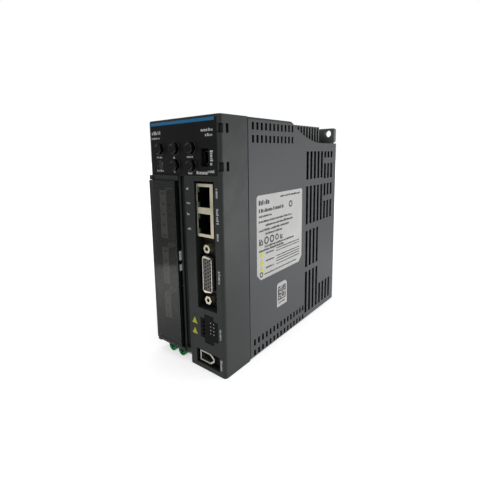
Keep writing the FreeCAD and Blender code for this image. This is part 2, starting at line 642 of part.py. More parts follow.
def build_heat_sink():
    """One casting: left spine, front wall, fins across it, and a back plate with two ears."""
    body = new_body("heat_sink")
    pad(body, "y", "cover_proud + plate_from", "case_depth - plate_from",
        rect("0", "0", "plate_right", "sink_top"))
    pad(body, "y", "cover_proud + plate_from", "case_depth - plate_from",
        rect("ear_right - ear_wide", "sink_top - ear_tall", "ear_right", "sink_top"))
    back = SIZE["cover_proud"] + (SIZE["plate_from"] + SIZE["case_depth"]) / 2
    soften(body, "ear_round", edges_at(body, x=SIZE["ear_right"], y=back))
    pad(body, "z", "sink_low", "sink_top - sink_low",
        rect("0", "cover_proud + spine_from", "spine_thick", "cover_proud + case_depth"))
    pad(body, "z", "sink_low", "sink_top - sink_low",
        rect("0", "cover_proud + sink_wall_from", "sink_right",
             "cover_proud + sink_wall_from + sink_wall_thick"))
    fin = pad(body, "z", "sink_low", "sink_top - sink_low",
              rect("spine_thick / 2", "cover_proud + fin_from", "fin_right",
                   "cover_proud + fin_from + fin_thick"))
    repeat(body, fin, "y", "fin_pitch", "fin_count")
    cut_screw_access(body)
    add_case_tabs(body)
    for x, z in (("module_left", "module_low + module_tall / 2"),
                 ("module_right", "module_low + module_tall / 2"),
                 ("bridge_x", "bridge_low + module_tall / 4"),
                 ("strap_left + strap_wide / 2", "strap_low + strap_rise / 2")):
        pocket(body, "y", "cover_proud + sink_wall_from", "sink_wall_thick", disc(x, z, "tapped"))


def cut_screw_access(body):
    """Cleared corners in front of the two ears, then the wall screw holes through the ears."""
    length = "plate_from - access_from"
    pocket(body, "y", "cover_proud + access_from", length,
           rect("width - access_wide", "sink_top - access_tall", "width", "sink_top + wall"),
           rect("-wall", "-wall", "access_wide", "access_tall + sink_low"))
    pocket(body, "y", "cover_proud + plate_from", "case_depth - plate_from",
           disc("width - hole_inset", "hole_z_top", "wall_hole"),
           disc("hole_inset", "height - hole_z_top", "wall_hole"))


def add_case_tabs(body):
    """Two tabs that reach forward inside the left wall, tapped for the case screws."""
    for level in ("screw_low", "screw_high"):
        pad(body, "y", "cover_proud + tab_from", "sink_wall_from - tab_from + sink_wall_thick",
            rect("tab_inner", f"{level} - tab_tall / 2", "tab_inner + tab_thick",
                 f"{level} + tab_tall / 2"))
        pocket(body, "x", "tab_inner", "tab_thick", disc("cover_proud + screw_y", level, "tapped"))


def build_case_screws():
    """Two countersunk screws through the left wall into the tabs; their shanks follow the tap drill."""
    screws = []
    for level in ("screw_low", "screw_high"):
        head = rod("screw_head", "x", "head_radius", "wall / 2 - 2 * head_sunk",
                   "head_sunk", "cover_proud + screw_y", level)
        neck = rod("screw_neck", "x", "tapped - thread_ease", "case_screw_long",
                   "head_sunk", "cover_proud + screw_y", level)
        screws.append(fuse("case_screw", head, neck))
    finish(fuse("case_screws_all", *screws), "case_screws")


def build_ground_parts():
    """Flat strap along the floor, bent up at both ends, with the screws at each end."""
    body = new_body("ground_strap")
    pad(body, "y", "cover_proud + tab_back", "lug_thick",
        rect("ground_left", "ground_z - washer_radius + strap_gap",
             "ground_left + ground_wide", "ground_high"))
    pad(body, "y", "cover_proud + tab_back + lug_thick",
        "sink_wall_from - tab_back - lug_thick - strap_back",
        rect("strap_left", "strap_low", "strap_left + strap_wide", "strap_low + strap_thick"))
    pad(body, "y", "cover_proud + sink_wall_from - strap_back - strap_thick", "strap_thick",
        rect("strap_left", "strap_low", "strap_left + strap_wide", "strap_low + strap_rise"))
    pocket(body, "y", "cover_proud + tab_back", "lug_thick",
           disc("ground_x", "ground_z", "ground_shank + ground_fit"),
           disc("ground_x + ground_pitch", "ground_z", "ground_shank + ground_fit"))
    pocket(body, "y", "cover_proud + sink_wall_from - strap_back - strap_thick", "strap_thick",
           disc("strap_left + strap_wide / 2", "strap_low + strap_rise / 2", "screw_shank"))
    screws = []
    for x in ("ground_x", "ground_x + ground_pitch"):
        head = rod("ground_head", "y", "ground_head", "ground_head_thick",
                   x, "cover_proud + ground_head_from", "ground_z")
        washer = rod("ground_washer", "y", "washer_radius", "washer_thick",
                     x, "cover_proud + ground_head_from + ground_head_thick", "ground_z")
        shank = rod("ground_shank", "y", "ground_shank", "ground_long",
                    x, "cover_proud + ground_head_from", "ground_z")
        across = block("ground_slot", (f"{x} - slot_cut_long / 2", "slot_cut_long"),
                       ("cover_proud + ground_head_from", "slot_cut_deep"),
                       ("ground_z - slot_cut_wide / 2", "slot_cut_wide"))
        upright = block("ground_slot", (f"{x} - slot_cut_wide / 2", "slot_cut_wide"),
                        ("cover_proud + ground_head_from", "slot_cut_deep"),
                        ("ground_z - slot_cut_long / 2", "slot_cut_long"))
        screws.append(cut("ground_screw", fuse("ground_blank", head, washer, shank), across, upright))
    finish(fuse("ground_screws_all", *screws), "ground_screws")


# ---------------------------------------------------------------- terminal cover and terminals

def build_terminal_cover():
    """Box-shaped cover with a rolled left edge that turns on two pins."""
    body = new_body("terminal_cover")
    tall = "cover_high - cover_low"
    pad(body, "z", "cover_low", tall,
        rect("cover_left", "0", "cover_right", "cover_thick"))
    soften(body, "cover_edge", edges_at(body, x=SIZE["cover_left"], y=0)
           + edges_at(body, x=SIZE["cover_right"], y=0))
    pad(body, "z", "cover_low", tall,
        rect("cover_left", "cover_thick / 2", "cover_left + cover_thick", "cover_proud - hinge_back"))
    pad(body, "z", "cover_low", tall,
        disc("hinge_x", "cover_proud - hinge_back", "cover_roll"))
    pad(body, "z", "cover_low", tall,
        rect("cover_right - cover_thick", "cover_thick / 2", "cover_right", "cover_proud + cover_lip"))
    for low in ("cover_low", "cover_high - cover_thick"):
        pad(body, "z", low, "cover_thick",
            rect("cover_left + cover_thick / 2", "cover_thick / 2", "cover_right",
                 "cover_proud - cover_end_back"))
    for low in ("cover_low", "cover_high - cover_bore_deep"):
        pocket(body, "z", low, "cover_bore_deep",
               disc("hinge_x", "cover_proud - hinge_back", "hinge_radius + hinge_run"))
    pins = []
    for low in ("cover_low - cover_gap - hinge_bite + hinge_run",
                "cover_high + cover_gap + hinge_bite - hinge_run - hinge_length"):
        pins.append(rod("hinge_pin", "z", "hinge_radius", "hinge_length",
                        "hinge_x", "cover_proud - hinge_back", low))
    finish(fuse("hinge_pins_all", *pins), "cover_hinge_pins")


BLOCKS = (("input", "input_low", "input_poles"), ("brake", "brake_low", "brake_poles"),
          ("motor", "motor_low", "motor_poles"))


def build_terminals():
    """Three pluggable terminal blocks behind the cover: header, plug, contacts and latches."""
    for label, low, poles in BLOCKS:
        tall = f"{SIZE[poles]} * pole_pitch"
        outer = block(f"{label}_shroud", ("header_left", "header_right - header_left"),
                      ("cover_proud + header_from", "header_depth"), (low, tall))
        hollow = block(f"{label}_hollow",
                       ("header_left + header_wall", "header_right - header_left - 2 * header_wall"),
                       ("cover_proud + header_from", "header_depth - header_floor"),
                       (f"{low} + header_wall", f"{tall} - 2 * header_wall"))
        pins = [block("contact_way", ("entry_x - contact_wide / 2 - contact_gap",
                                      "contact_wide + 2 * contact_gap"),
                      ("cover_proud + contact_from - contact_gap", "contact_long"),
                      (f"{low} + {pole} * pole_pitch + pole_pitch / 2 - contact_tall / 2 - contact_gap",
                       "contact_tall + 2 * contact_gap")) for pole in range(SIZE[poles])]
        finish(cut(f"{label}_header_all", outer, hollow, *pins), f"{label}_terminal_header")
        finish(build_plug(label, low, tall, SIZE[poles]), f"{label}_terminal_plug")
    contacts = [block("terminal_contact", ("entry_x - contact_wide / 2", "contact_wide"),
                      ("cover_proud + contact_from", "contact_long"),
                      (f"{low} + {pole} * pole_pitch + pole_pitch / 2 - contact_tall / 2",
                       "contact_tall"))
                for _, low, poles in BLOCKS for pole in range(SIZE[poles])]
    finish(fuse("contacts_all", *contacts), "terminal_contacts")
    build_latches()


def build_plug(label, low, tall, poles):
    """Plug with a wire entry and a screwdriver slot for each pole."""
    inset = "header_wall + plug_gap"
    base = block(f"{label}_plug", (f"header_left + {inset}", f"header_right - header_left - 2 * ({inset})"),
                 ("cover_proud - plug_proud", "plug_depth"),
                 (f"{low} + {inset}", f"{tall} - 2 * ({inset})"))
    tools = []
    for pole in range(poles):
        centre = f"{low} + {pole} * pole_pitch + pole_pitch / 2"
        tools.append(block("wire_entry", ("entry_x - entry_size / 2", "entry_size"),
                           ("cover_proud - plug_proud", "entry_depth"),
                           (f"{centre} - entry_size / 2", "entry_size")))
        tools.append(block("driver_slot", ("driver_x - driver_wide / 2", "driver_wide"),
                           ("cover_proud - plug_proud", "driver_depth"),
                           (f"{centre} - driver_tall / 2", "driver_tall")))
    return cut(f"{label}_plug_all", base, *tools)


def build_latches():
    """Two pale latches on the right of the middle header; their tips show beside the cover."""
    tabs = []
    for low, tall in (("latch_upper", "latch_upper_tall"), ("latch_lower", "latch_lower_tall")):
        arm = block("latch_arm", ("header_right + latch_ease", "latch_tip - header_right - latch_ease"),
                    ("cover_proud + latch_from", "latch_thick"), (low, tall))
        tip = block("latch_tip", ("latch_tip - latch_tip_wide", "latch_tip_wide"),
                    ("cover_proud - latch_proud", "latch_proud + latch_from + latch_thick"), (low, tall))
        leg = block("latch_leg", ("header_right + latch_ease", "latch_wide"),
                    ("cover_proud + latch_from", "latch_deep"), (low, tall))
        tabs.append(fuse("latch", arm, tip, leg))
    finish(fuse("latches_all", *tabs), "terminal_latches")


# ---------------------------------------------------------------- key area

def build_keypad_films():
    """Overlay film over the key area and the accent stripe let into its top."""
    film = new_body("keypad_overlay")
    pad(film, "y", "cover_proud", "film_thick - film_play",
        rect("film_left + film_play", "film_low + film_play", "film_right - film_play",
             "film_high - film_play"))
    pocket(film, "y", "cover_proud", "film_thick",
           rect("-wall", "stripe_low", "stripe_right", "height"))
    wells = [disc(x, z, "well_radius") for x, z in KEY_PLACE.values()]
    pocket(film, "y", "cover_proud", "film_thick",
           disc("lamp_x", "lamp_z", "lamp_radius + lamp_gap"),
           rect("port_left", "port_low", "port_right", "port_high"), *wells)
    stripe = new_body("accent_stripe")
    pad(stripe, "y", "cover_proud", "film_thick - film_play",
        rect("film_left + film_play", "stripe_low + stripe_gap", "stripe_right - stripe_gap",
             "film_high - film_play"))


def build_keys():
    """Round push keys: proud dished cap, retaining flange behind the wall, and a stem."""
    for label in KEYS:
        x, z = KEY_PLACE[label]
        cap = rod("cap", "y", "cap_radius", "flange_from + flange_thick + cap_proud - cap_edge",
                  x, "cover_proud - cap_proud + cap_edge", z)
        crown = taper("crown", "y", "cap_radius - cap_edge", "cap_radius", "cap_edge",
                      x, "cover_proud - cap_proud", z)
        flange = rod("flange", "y", "flange_radius", "flange_thick", x, "cover_proud + flange_from", z)
        stem = rod("stem", "y", "stem_radius", "flange_thick + stem_long",
                   x, "cover_proud + flange_from", z)
        dish = taper("dish", "y", "dish_radius", "dish_floor", "dish_depth",
                     x, "cover_proud - cap_proud", z)
        finish(cut(f"{label}_all", fuse(f"{label}_blank", cap, crown, flange, stem), dish), label)
    lens = rod("lamp_lens", "y", "lamp_radius", "flange_from + flange_thick - lens_sunk",
               "lamp_x", "cover_proud + lens_sunk", "lamp_z")
    rim = rod("lamp_rim", "y", "lamp_radius + lamp_gap", "flange_thick",
              "lamp_x", "cover_proud + flange_from", "lamp_z")
    finish(fuse("charge_lamp_all", lens, rim), "charge_lamp")


def build_display():
    """Display board with its switches and the display module."""
    finish(block("display_plate", ("display_left", "display_right - display_left"),
                 ("cover_proud + display_from", "display_thick"),
                 ("display_low", "display_high - display_low")), "display_board")
    shell = block("display_shell", ("window_left", "window_right - window_left"),
                  ("cover_proud + module_from", "display_from - module_from"),
                  ("module_low_edge", "module_high_edge - module_low_edge"))
    digits = [block("digit", (f"digit_left + {place} * digit_pitch", "digit_wide"),
                    ("cover_proud + module_from", "digit_deep"), ("digit_low", "digit_tall"))
              for place in range(SIZE["digit_count"])]
    finish(cut("display_module_all", shell, *digits), "display_module")
    switches = []
    for x, z in KEY_PLACE.values():
        base = block("switch_base", (f"{x} - switch_size / 2", "switch_size"),
                     ("cover_proud + switch_from", "display_from - switch_from"),
                     (f"{z} - switch_size / 2", "switch_size"))
        plunger = rod("plunger", "y", "plunger_radius", "plunger_long + switch_ease",
                      x, "cover_proud + switch_from - plunger_long", z)
        switches.append(fuse("switch", base, plunger))
    finish(fuse("switches_all", *switches), "tactile_switches")


def build_service_port():
    """Small upright service port: surround, metal shell and contact tongue."""

    def port_outline(shrink):
        left, right = f"usb_x - usb_half_wide + {shrink}", f"usb_x + usb_half_wide - {shrink}"
        low, high = f"usb_z - usb_half_tall + {shrink}", f"usb_z + usb_half_tall - {shrink}"
        return ((left, low), (f"{right} - usb_taper", low), (right, f"{low} + usb_taper"),
                (right, f"{high} - usb_taper"), (f"{right} - usb_taper", high), (left, high))

    shell = new_body("service_port_shell")
    pad(shell, "y", "cover_proud + usb_from", "usb_deep", port_outline("0"), port_outline("usb_wall"))
    surround = new_body("service_port_insert")
    pad(surround, "y", "cover_proud + surround_from", "surround_deep",
        rect("surround_left", "surround_low", "surround_right", "surround_high"))
    pocket(surround, "y", "cover_proud + surround_from",
           "usb_from + usb_deep - surround_from + usb_fit", port_outline("-usb_fit"))
    pad(surround, "y", "cover_proud + tongue_from", "surround_from + surround_deep - tongue_from",
        rect("usb_x - tongue_wide / 2", "usb_z - tongue_tall / 2",
             "usb_x + tongue_wide / 2", "usb_z + tongue_tall / 2"))


# ---------------------------------------------------------------- connectors of the right column

PORTS = ("port_middle - port_pitch / 2", "port_middle + port_pitch / 2")


def port_shapes(grow):
    """Plug opening of each network port, with its latch notch on the left."""
    shapes = []
    for middle in PORTS:
        wide, narrow = f"port_tall / 2 + {grow}", f"notch_tall / 2 + {grow}"
        left, notch, right = f"port_open_left - {grow}", f"latch_left - {grow}", f"port_open_right + {grow}"
        shapes.append(((left, f"{middle} - {wide}"), (right, f"{middle} - {wide}"),
                       (right, f"{middle} + {wide}"), (left, f"{middle} + {wide}"),
                       (left, f"{middle} + {narrow}"), (notch, f"{middle} + {narrow}"),
                       (notch, f"{middle} - {narrow}"), (left, f"{middle} - {narrow}")))
    return shapes


def window_shapes(grow):
    """Window of the shield in front of each port, its latch notch and its light pipes."""
    return [rect(f"pipe_left - {grow}", f"{middle} - port_tall / 2 - {grow}",
                 f"port_open_right + {grow}", f"{middle} + port_tall / 2 + {grow}")
            for middle in PORTS]


def lamp_shapes(grow):
    """Small light-pipe windows, two beside each port's latch notch."""
    return [rect(f"pipe_left - {grow}", f"{middle} {side} pipe_step - pipe_tall / 2 - {grow}",
                 f"pipe_left + pipe_wide + {grow}", f"{middle} {side} pipe_step + pipe_tall / 2 + {grow}")
            for middle in PORTS for side in "+-"]


def build_network_jack():
    """Double network jack on its side: metal shield, insert, contact wires and light pipes."""
    inner = rect("jack_left + shield_wall", "jack_low + shield_wall",
                 "jack_left + jack_wide - shield_wall", "jack_low + jack_tall - shield_wall")
    front = "cover_proud + jack_from"
    shield = new_body("network_jack_shield")
    pad(shield, "y", front, "jack_deep",
        rect("jack_left", "jack_low", "jack_left + jack_wide", "jack_low + jack_tall"))
    pocket(shield, "y", f"{front} + shield_wall", "jack_deep - shield_wall", inner)
    pocket(shield, "y", front, "shield_wall", *window_shapes("insert_gap"))
    insert = new_body("network_jack_insert")
    pad(insert, "y", f"{front} + shield_wall + insert_gap", "jack_deep - 2 * shield_wall",
        rect("jack_left + shield_wall + insert_gap", "jack_low + shield_wall + insert_gap",
             "jack_left + jack_wide - shield_wall - insert_gap",
             "jack_low + jack_tall - shield_wall - insert_gap"))
    pocket(insert, "y", front, "port_deep", *port_shapes("0"))
    pocket(insert, "y", front, "pipe_deep + shield_wall", *lamp_shapes("insert_gap"))
    pipes = [block("light_pipe", ("pipe_left", "pipe_wide"), (f"{front} - pipe_proud", "pipe_deep"),
                   (f"{middle} {side} pipe_step - pipe_tall / 2", "pipe_tall"))
             for middle in PORTS for side in "+-"]
    finish(fuse("pipes_all", *pipes), "network_light_pipes")
    wires = [block("wire", ("wire_x", "wire_wide"), ("cover_proud + wire_from", "wire_long"),
                   (f"{middle} + {2 * place - 7} * wire_pitch / 2 - wire_thick / 2", "wire_thick"))
             for middle in PORTS for place in range(SIZE["wire_count"])]
    finish(fuse("wires_all", *wires), "network_jack_contacts")


def shell_outline(shrink):
    """Trapezoid of the input/output socket: its long side is on the left."""
    left, right = f"io_x - shell_half_wide + {shrink}", f"io_x + shell_half_wide - {shrink}"
    return ((left, f"io_z - shell_long_half + {shrink}"), (right, f"io_z - shell_short_half + {shrink}"),
            (right, f"io_z + shell_short_half - {shrink}"), (left, f"io_z + shell_long_half - {shrink}"))


def build_io_socket():
    """High-density socket: flanged metal shell, insulator, contact tubes and jackscrews."""
    floor = "cover_proud + bay_depth"
    shell = new_body("io_socket_shell")
    pad(shell, "y", "cover_proud + shell_from", "bay_depth - shell_from", shell_outline("0"))
    trapezoid = [f"Edge{index + 1}" for index, edge in enumerate(current(shell).Edges)
                 if abs(edge.tangentAt(edge.FirstParameter).y) > 0.9]
    soften(shell, "shell_round", trapezoid)
    pad(shell, "y", f"{floor} - plate_thick", "plate_thick",
        rect("io_x - plate_half_wide", "io_z - plate_half_tall",
             "io_x + plate_half_wide", "io_z + plate_half_tall"))
    pocket(shell, "y", "cover_proud + shell_from", "bay_depth - shell_from",
           rect("io_x - shell_half_wide + shell_wall + insulator_gap",
                "io_z - shell_short_half + shell_wall + insulator_gap",
                "io_x + shell_half_wide - shell_wall - insulator_gap",
                "io_z + shell_short_half - shell_wall - insulator_gap"))
    pocket(shell, "y", f"{floor} - plate_thick", "plate_thick",
           disc("io_x", "io_z - io_screw_span / 2", "io_stud_radius + io_stud_gap"),
           disc("io_x", "io_z + io_screw_span / 2", "io_stud_radius + io_stud_gap"))
    insulator = new_body("io_socket_insulator")
    pad(insulator, "y", "cover_proud + insulator_from", "bay_depth - insulator_from",
        rect("io_x - shell_half_wide + shell_wall + 2 * insulator_gap",
             "io_z - shell_short_half + shell_wall + 2 * insulator_gap",
             "io_x + shell_half_wide - shell_wall - 2 * insulator_gap",
             "io_z + shell_short_half - shell_wall - 2 * insulator_gap"))
    pad(insulator, "y", f"{floor} + insulator_gap", "insulator_back - bay_depth",
        rect("io_x - io_body_wide / 2", "io_z - io_body_tall / 2",
             "io_x + io_body_wide / 2", "io_z + io_body_tall / 2"))
    pad(insulator, "y", f"{floor} - insulator_gap", "2 * insulator_gap",
        rect("io_x - shell_half_wide / 2", "io_z - shell_short_half / 2",
             "io_x + shell_half_wide / 2", "io_z + shell_short_half / 2"))
    places = [(f"io_x + {column} * column_step", f"io_z + {2 * row - count + 1} * row_step / 2")
              for column, count in ((-1, 9), (0, 8), (1, 9)) for row in range(count)]
    pocket(insulator, "y", "cover_proud + insulator_from", "tube_long + tube_sunk",
           *[disc(x, z, "contact_hole") for x, z in places])
    tubes = [rod("contact_tube", "y", "tube_radius", "tube_long - tube_sunk",
                 x, "cover_proud + insulator_from + tube_sunk", z) for x, z in places]
    finish(fuse("tubes_all", *tubes), "io_socket_contacts")
    screws = []
    for side in "-+":
        z = f"io_z {side} io_screw_span / 2"
        nut = rod("jack_hex", "y", "screw_flat", "bay_depth - plate_thick - screw_from - io_stud_gap",
                  "io_x", "cover_proud + screw_from", z, kind="Part::Prism")
        stud = rod("jack_stud", "y", "io_stud_radius", "bay_depth - screw_from + stud_long",
                   "io_x", "cover_proud + screw_from", z)
        bore = rod("jack_bore", "y", "screw_bore", "screw_bore_deep", "io_x", "cover_proud + screw_from", z)
        screws.append(cut("jackscrew", fuse("jack_blank", nut, stud), bore))
    finish(fuse("jackscrews_all", *screws), "io_jackscrews")


def current(body):
    """The body's shape after a recompute."""
    DOC.recompute()
    return body.Tip.Shape


def build_safety_connector():
    """Eight-way safety header in the front wall, with its pull-off plug, pins and plug contacts."""
    header = new_body("safety_header")
    around = "safety_wall + safety_ease"
    pad(header, "y", "cover_proud + safety_from", "safety_deep",
        rect(f"safety_left - ({around})", f"safety_z - safety_half - ({around})",
             f"safety_right + {around}", f"safety_z + safety_half + {around}"))
    pocket(header, "y", "cover_proud + safety_from", "safety_deep - safety_floor",
           stepped_outline("safety_ease"))
    places = [(f"pin_x + {column} * pin_step_x", f"safety_z + {row - 1} * pin_step_z")
              for column in (0, 1) for row in range(4)]
    pocket(header, "y", "cover_proud + safety_from + safety_deep - safety_floor", "safety_floor",
           *[disc(x, z, "pin_way") for x, z in places])
    plug = new_body("safety_plug")
    pad(plug, "y", "cover_proud + plug_from", "plug_back - plug_from", stepped_outline("0"))
    pocket(plug, "y", "cover_proud + plug_from", "tip_sunk + tip_long",
           *[disc(x, z, "tip_radius + hinge_run") for x, z in places])
    pocket(plug, "y", "cover_proud + pin_from - pin_way", "plug_back",
           *[disc(x, z, "pin_way") for x, z in places])
    pocket(plug, "y", "cover_proud + plug_from", "finger_deep",
           *[rect("finger_x - finger_wide / 2",
                  f"safety_z + {2 * row - 3} * finger_step / 2 - finger_tall / 2",
                  "finger_x + finger_wide / 2",
                  f"safety_z + {2 * row - 3} * finger_step / 2 + finger_tall / 2") for row in range(4)])
    tips = [rod("tip", "y", "tip_radius", "tip_long", x, "cover_proud + plug_from + tip_sunk", z)
            for x, z in places]
    finish(fuse("tips_all", *tips), "safety_plug_contacts")
    pins = [rod("pin", "y", "pin_radius", "pin_long", x, "cover_proud + pin_from", z)
            for x, z in places]
    finish(fuse("pins_all", *pins), "safety_header_pins")


def build_encoder_socket():
    """Encoder socket low on the column: metal ring with one tapered end, in a black insert."""

    def ring_outline(shrink):
        left, right = f"ring_left + {shrink}", f"ring_right - {shrink}"
        low, high = f"ring_low + {shrink}", f"ring_high - {shrink}"
        return ((left, low), (f"{right} - ring_taper_x", low), (right, f"{low} + ring_taper"),
                (right, f"{high} - ring_taper"), (f"{right} - ring_taper_x", high), (left, high))

    shell = new_body("encoder_socket_shell")
    pad(shell, "y", "cover_proud + ring_from", "ring_deep", ring_outline("0"), ring_outline("ring_wall"))
    insert = new_body("encoder_socket_insert")
    pad(insert, "y", "cover_proud + insert_from", "insert_deep",
        rect("insert_left", "insert_low", "insert_right", "insert_high"))
    pocket(insert, "y", "cover_proud + insert_from",
           "ring_from + ring_deep - insert_from + ring_fit", ring_outline("-ring_fit"))
    pad(insert, "y", "cover_proud + bar_from", "insert_from + insert_deep - bar_from",
        rect("bar_left", "bar_low", "bar_right", "bar_high"))


# ---------------------------------------------------------------- boards and power parts inside

def build_boards():
    """Control board at right, power board at left, spacers, screws, headers and ribbon."""
    control = block("control_plate", ("control_x", "board_thick"),
                    ("cover_proud + control_from", "control_deep"), ("control_low", "control_tall"))
    power = block("power_plate", ("power_x", "board_thick"),
                  ("cover_proud + power_from", "power_deep"), ("power_low", "power_tall"))
    spacers, screws = [], []
    for label, board, left, spacer_from, spacer_long, front, back in (
            ("control_board", control, "control_x", "control_x + board_thick + spacer_ease",
             "width - wall - control_x - board_thick - 2 * spacer_ease",
             "control_hole_front", "control_hole_back"),
            ("power_board", power, "power_x", "wall + spacer_ease",
             "power_x - wall - 2 * spacer_ease", "power_hole_front", "power_hole_back")):
        head_from = "control_x - board_screw_thick - spacer_ease" if label == "control_board" \
            else "power_x + board_thick + spacer_ease"
        holes = []
        for y in (front, back):
            for z in ("hole_low", "hole_high"):
                spot = (f"cover_proud + {y}", z)
                holes.append(rod("board_hole", "x", "board_hole", "board_thick", left, *spot))
                spacers.append(rod("spacer", "x", "spacer_radius", spacer_long, spacer_from, *spot))
                screws.append(rod("board_screw", "x", "board_screw_head", "board_screw_thick",
                                  head_from, *spot))
        finish(cut(f"{label}_all", board, *holes), label)
    finish(fuse("spacers_all", *spacers), "board_spacers")
    finish(fuse("board_screws_all", *screws), "board_screws")
    box_low = "link_z - box_thick / 2"
    boxes = [block("box_header", (x, "box_wide"), ("cover_proud + link_y", "box_long"),
                   (box_low, "box_thick"))
             for x in ("power_x + board_thick", "control_x - box_wide")]
    finish(fuse("boxes_all", *boxes), "board_headers")
    ribbon = block("ribbon", ("power_x + board_thick + box_wide",
                              "control_x - power_x - board_thick - 2 * box_wide"),
                   ("cover_proud + link_y + ribbon_thick", "box_long - 2 * ribbon_thick"),
                   ("link_z - ribbon_thick / 2", "ribbon_thick"))
    finish(ribbon, "board_ribbon")


def build_power_parts():
    """Bus capacitors, power module, rectifier, relay, choke and film capacitor."""
    board_face = "power_x + board_thick + part_ease"
    cans = []
    for place in range(SIZE["can_count"]):
        centre = ("cover_proud + can_y", f"can_first + {place} * can_pitch")
        can = rod("can", "x", "can_radius", "can_long", board_face, *centre)
        collar = rod("can_collar", "x", "can_radius + can_collar", "can_collar_long", board_face, *centre)
        vent = rod("can_top", "x", "can_radius / 2", "can_vent",
                   f"{board_face} + can_long - can_vent", *centre)
        cans.append(cut("capacitor", fuse("can_blank", can, collar), vent))
    finish(fuse("cans_all", *cans), "bus_capacitors")
    mount = "cover_proud + sink_wall_from"
    case = block("module_case",
                 ("module_left - module_wing", "module_right - module_left + 2 * module_wing"),
                 (f"{mount} - module_pad - part_ease - module_thick", "module_thick"),
                 ("module_low", "module_tall"))
    ways = [rod("module_way", "y", "screw_shank", "module_thick",
                x, f"{mount} - module_pad - part_ease - module_thick", "module_low + module_tall / 2")
            for x in ("module_left", "module_right")]
    finish(cut("power_module_all", case, *ways), "power_module")
    pad_plate = block("pad_plate",
                      ("module_left + module_wing", "module_right - module_left - 2 * module_wing"),
                      (f"{mount} - module_pad - part_ease / 2", "module_pad"), ("module_low", "module_tall"))
    finish(pad_plate, "thermal_pad")
    bolts = []
    for x, z, thick in (("module_left", "module_low + module_tall / 2",
                         "module_pad + part_ease + module_thick"),
                        ("module_right", "module_low + module_tall / 2",
                         "module_pad + part_ease + module_thick"),
                        ("bridge_x", "bridge_low + module_tall / 4", "bridge_thick + part_ease"),
                        ("strap_left + strap_wide / 2", "strap_low + strap_rise / 2",
                         "strap_back + strap_thick")):
        head = rod("bolt_head", "y", "module_screw_head", "module_screw_thick",
                   x, f"{mount} - ({thick}) - module_screw_thick", z)
        shank = rod("bolt_shank", "y", "tapped - thread_ease",
                    f"{thick} + module_screw_thick + sink_wall_thick - part_ease",
                    x, f"{mount} - ({thick}) - module_screw_thick", z)
        bolts.append(fuse("bolt", head, shank))
    finish(fuse("bolts_all", *bolts), "module_screws")
    bridge = block("bridge_case", ("bridge_x - bridge_wide / 2", "bridge_wide"),
                   (f"{mount} - part_ease - bridge_thick", "bridge_thick"), ("bridge_low", "bridge_tall"))
    bridge_way = rod("bridge_way", "y", "screw_shank", "bridge_thick", "bridge_x",
                     f"{mount} - part_ease - bridge_thick", "bridge_low + module_tall / 4")
    finish(cut("bridge_all", bridge, bridge_way), "rectifier_bridge")
    relay = block("relay_case", (board_face, "relay_wide"), ("cover_proud + relay_from", "relay_deep"),
                  ("relay_low", "relay_tall"))
    finish(relay, "inrush_relay")
    film = block("film_case", (board_face, "film_wide"), ("cover_proud + film_y", "film_deep"),
                 ("film_z", "film_tall"))
    finish(film, "filter_capacitor")
    choke = DOC.addObject("Part::Torus", "choke_ring")
    bind(choke, "Radius1", "choke_ring")
    bind(choke, "Radius2", "choke_core")
    choke.Placement = FreeCAD.Placement(FreeCAD.Vector(), TURN["x"])
    bind(choke, "Placement.Base.x", f"{board_face} + choke_core" + SHIFT["x"])
    bind(choke, "Placement.Base.y", "cover_proud + choke_y" + SHIFT["y"])
    bind(choke, "Placement.Base.z", "choke_z")
    finish(choke, "filter_choke")


# ---------------------------------------------------------------- the whole drive

def write_parts():
    """Check every object, then write each sub-part to its own file."""
    DOC.recompute()
    failed = [item.Name for item in DOC.Objects if {"Invalid", "Error"} & set(item.State)]
    if failed:
        raise RuntimeError(f"failed objects: {failed}")
    for item in SUBPARTS:
        if item.Shape.isNull() or not item.Shape.isValid() or not item.Shape.Solids:
            raise RuntimeError(f"{item.Label} has no valid solid")
    os.makedirs("parts", exist_ok=True)
    for item in SUBPARTS:
        item.Shape.exportStep(f"parts/{item.Label}.step")
        print(f"{item.Label}: {len(item.Shape.Solids)} solid(s), {item.Shape.Volume:.1f} mm3")


build_front_bezel()
build_rear_housing()
build_labels()
build_heat_sink()
build_case_screws()
build_ground_parts()
build_terminal_cover()
build_terminals()
build_keypad_films()
build_keys()
build_display()
build_service_port()
build_network_jack()
build_io_socket()
build_safety_connector()
build_encoder_socket()
build_boards()
build_power_parts()
write_parts()
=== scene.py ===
import math
import random

import bmesh
import bpy
from mathutils import Matrix, Vector


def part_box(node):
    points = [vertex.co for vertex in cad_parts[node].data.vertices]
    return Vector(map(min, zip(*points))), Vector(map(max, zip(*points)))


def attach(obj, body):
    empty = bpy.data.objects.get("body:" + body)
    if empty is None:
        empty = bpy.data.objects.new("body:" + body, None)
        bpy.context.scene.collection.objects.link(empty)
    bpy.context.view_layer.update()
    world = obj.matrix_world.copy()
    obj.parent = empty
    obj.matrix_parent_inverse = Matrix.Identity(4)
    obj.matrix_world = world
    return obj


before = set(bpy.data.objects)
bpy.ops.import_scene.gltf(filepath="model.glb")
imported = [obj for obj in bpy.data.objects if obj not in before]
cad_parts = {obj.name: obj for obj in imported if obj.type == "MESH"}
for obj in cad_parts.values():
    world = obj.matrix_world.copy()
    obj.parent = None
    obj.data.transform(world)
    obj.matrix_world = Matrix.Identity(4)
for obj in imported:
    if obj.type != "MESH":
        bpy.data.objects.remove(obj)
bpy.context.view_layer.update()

MM = 0.001
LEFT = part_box("rear_housing")[0].x
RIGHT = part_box("rear_housing")[1].x
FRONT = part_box("keypad_overlay")[0].y
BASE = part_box("rear_housing")[0].z
WIDE = (RIGHT - LEFT) / MM                  # the case across, in millimetres
INK = 0.04                                  # how far print stands proud, in millimetres
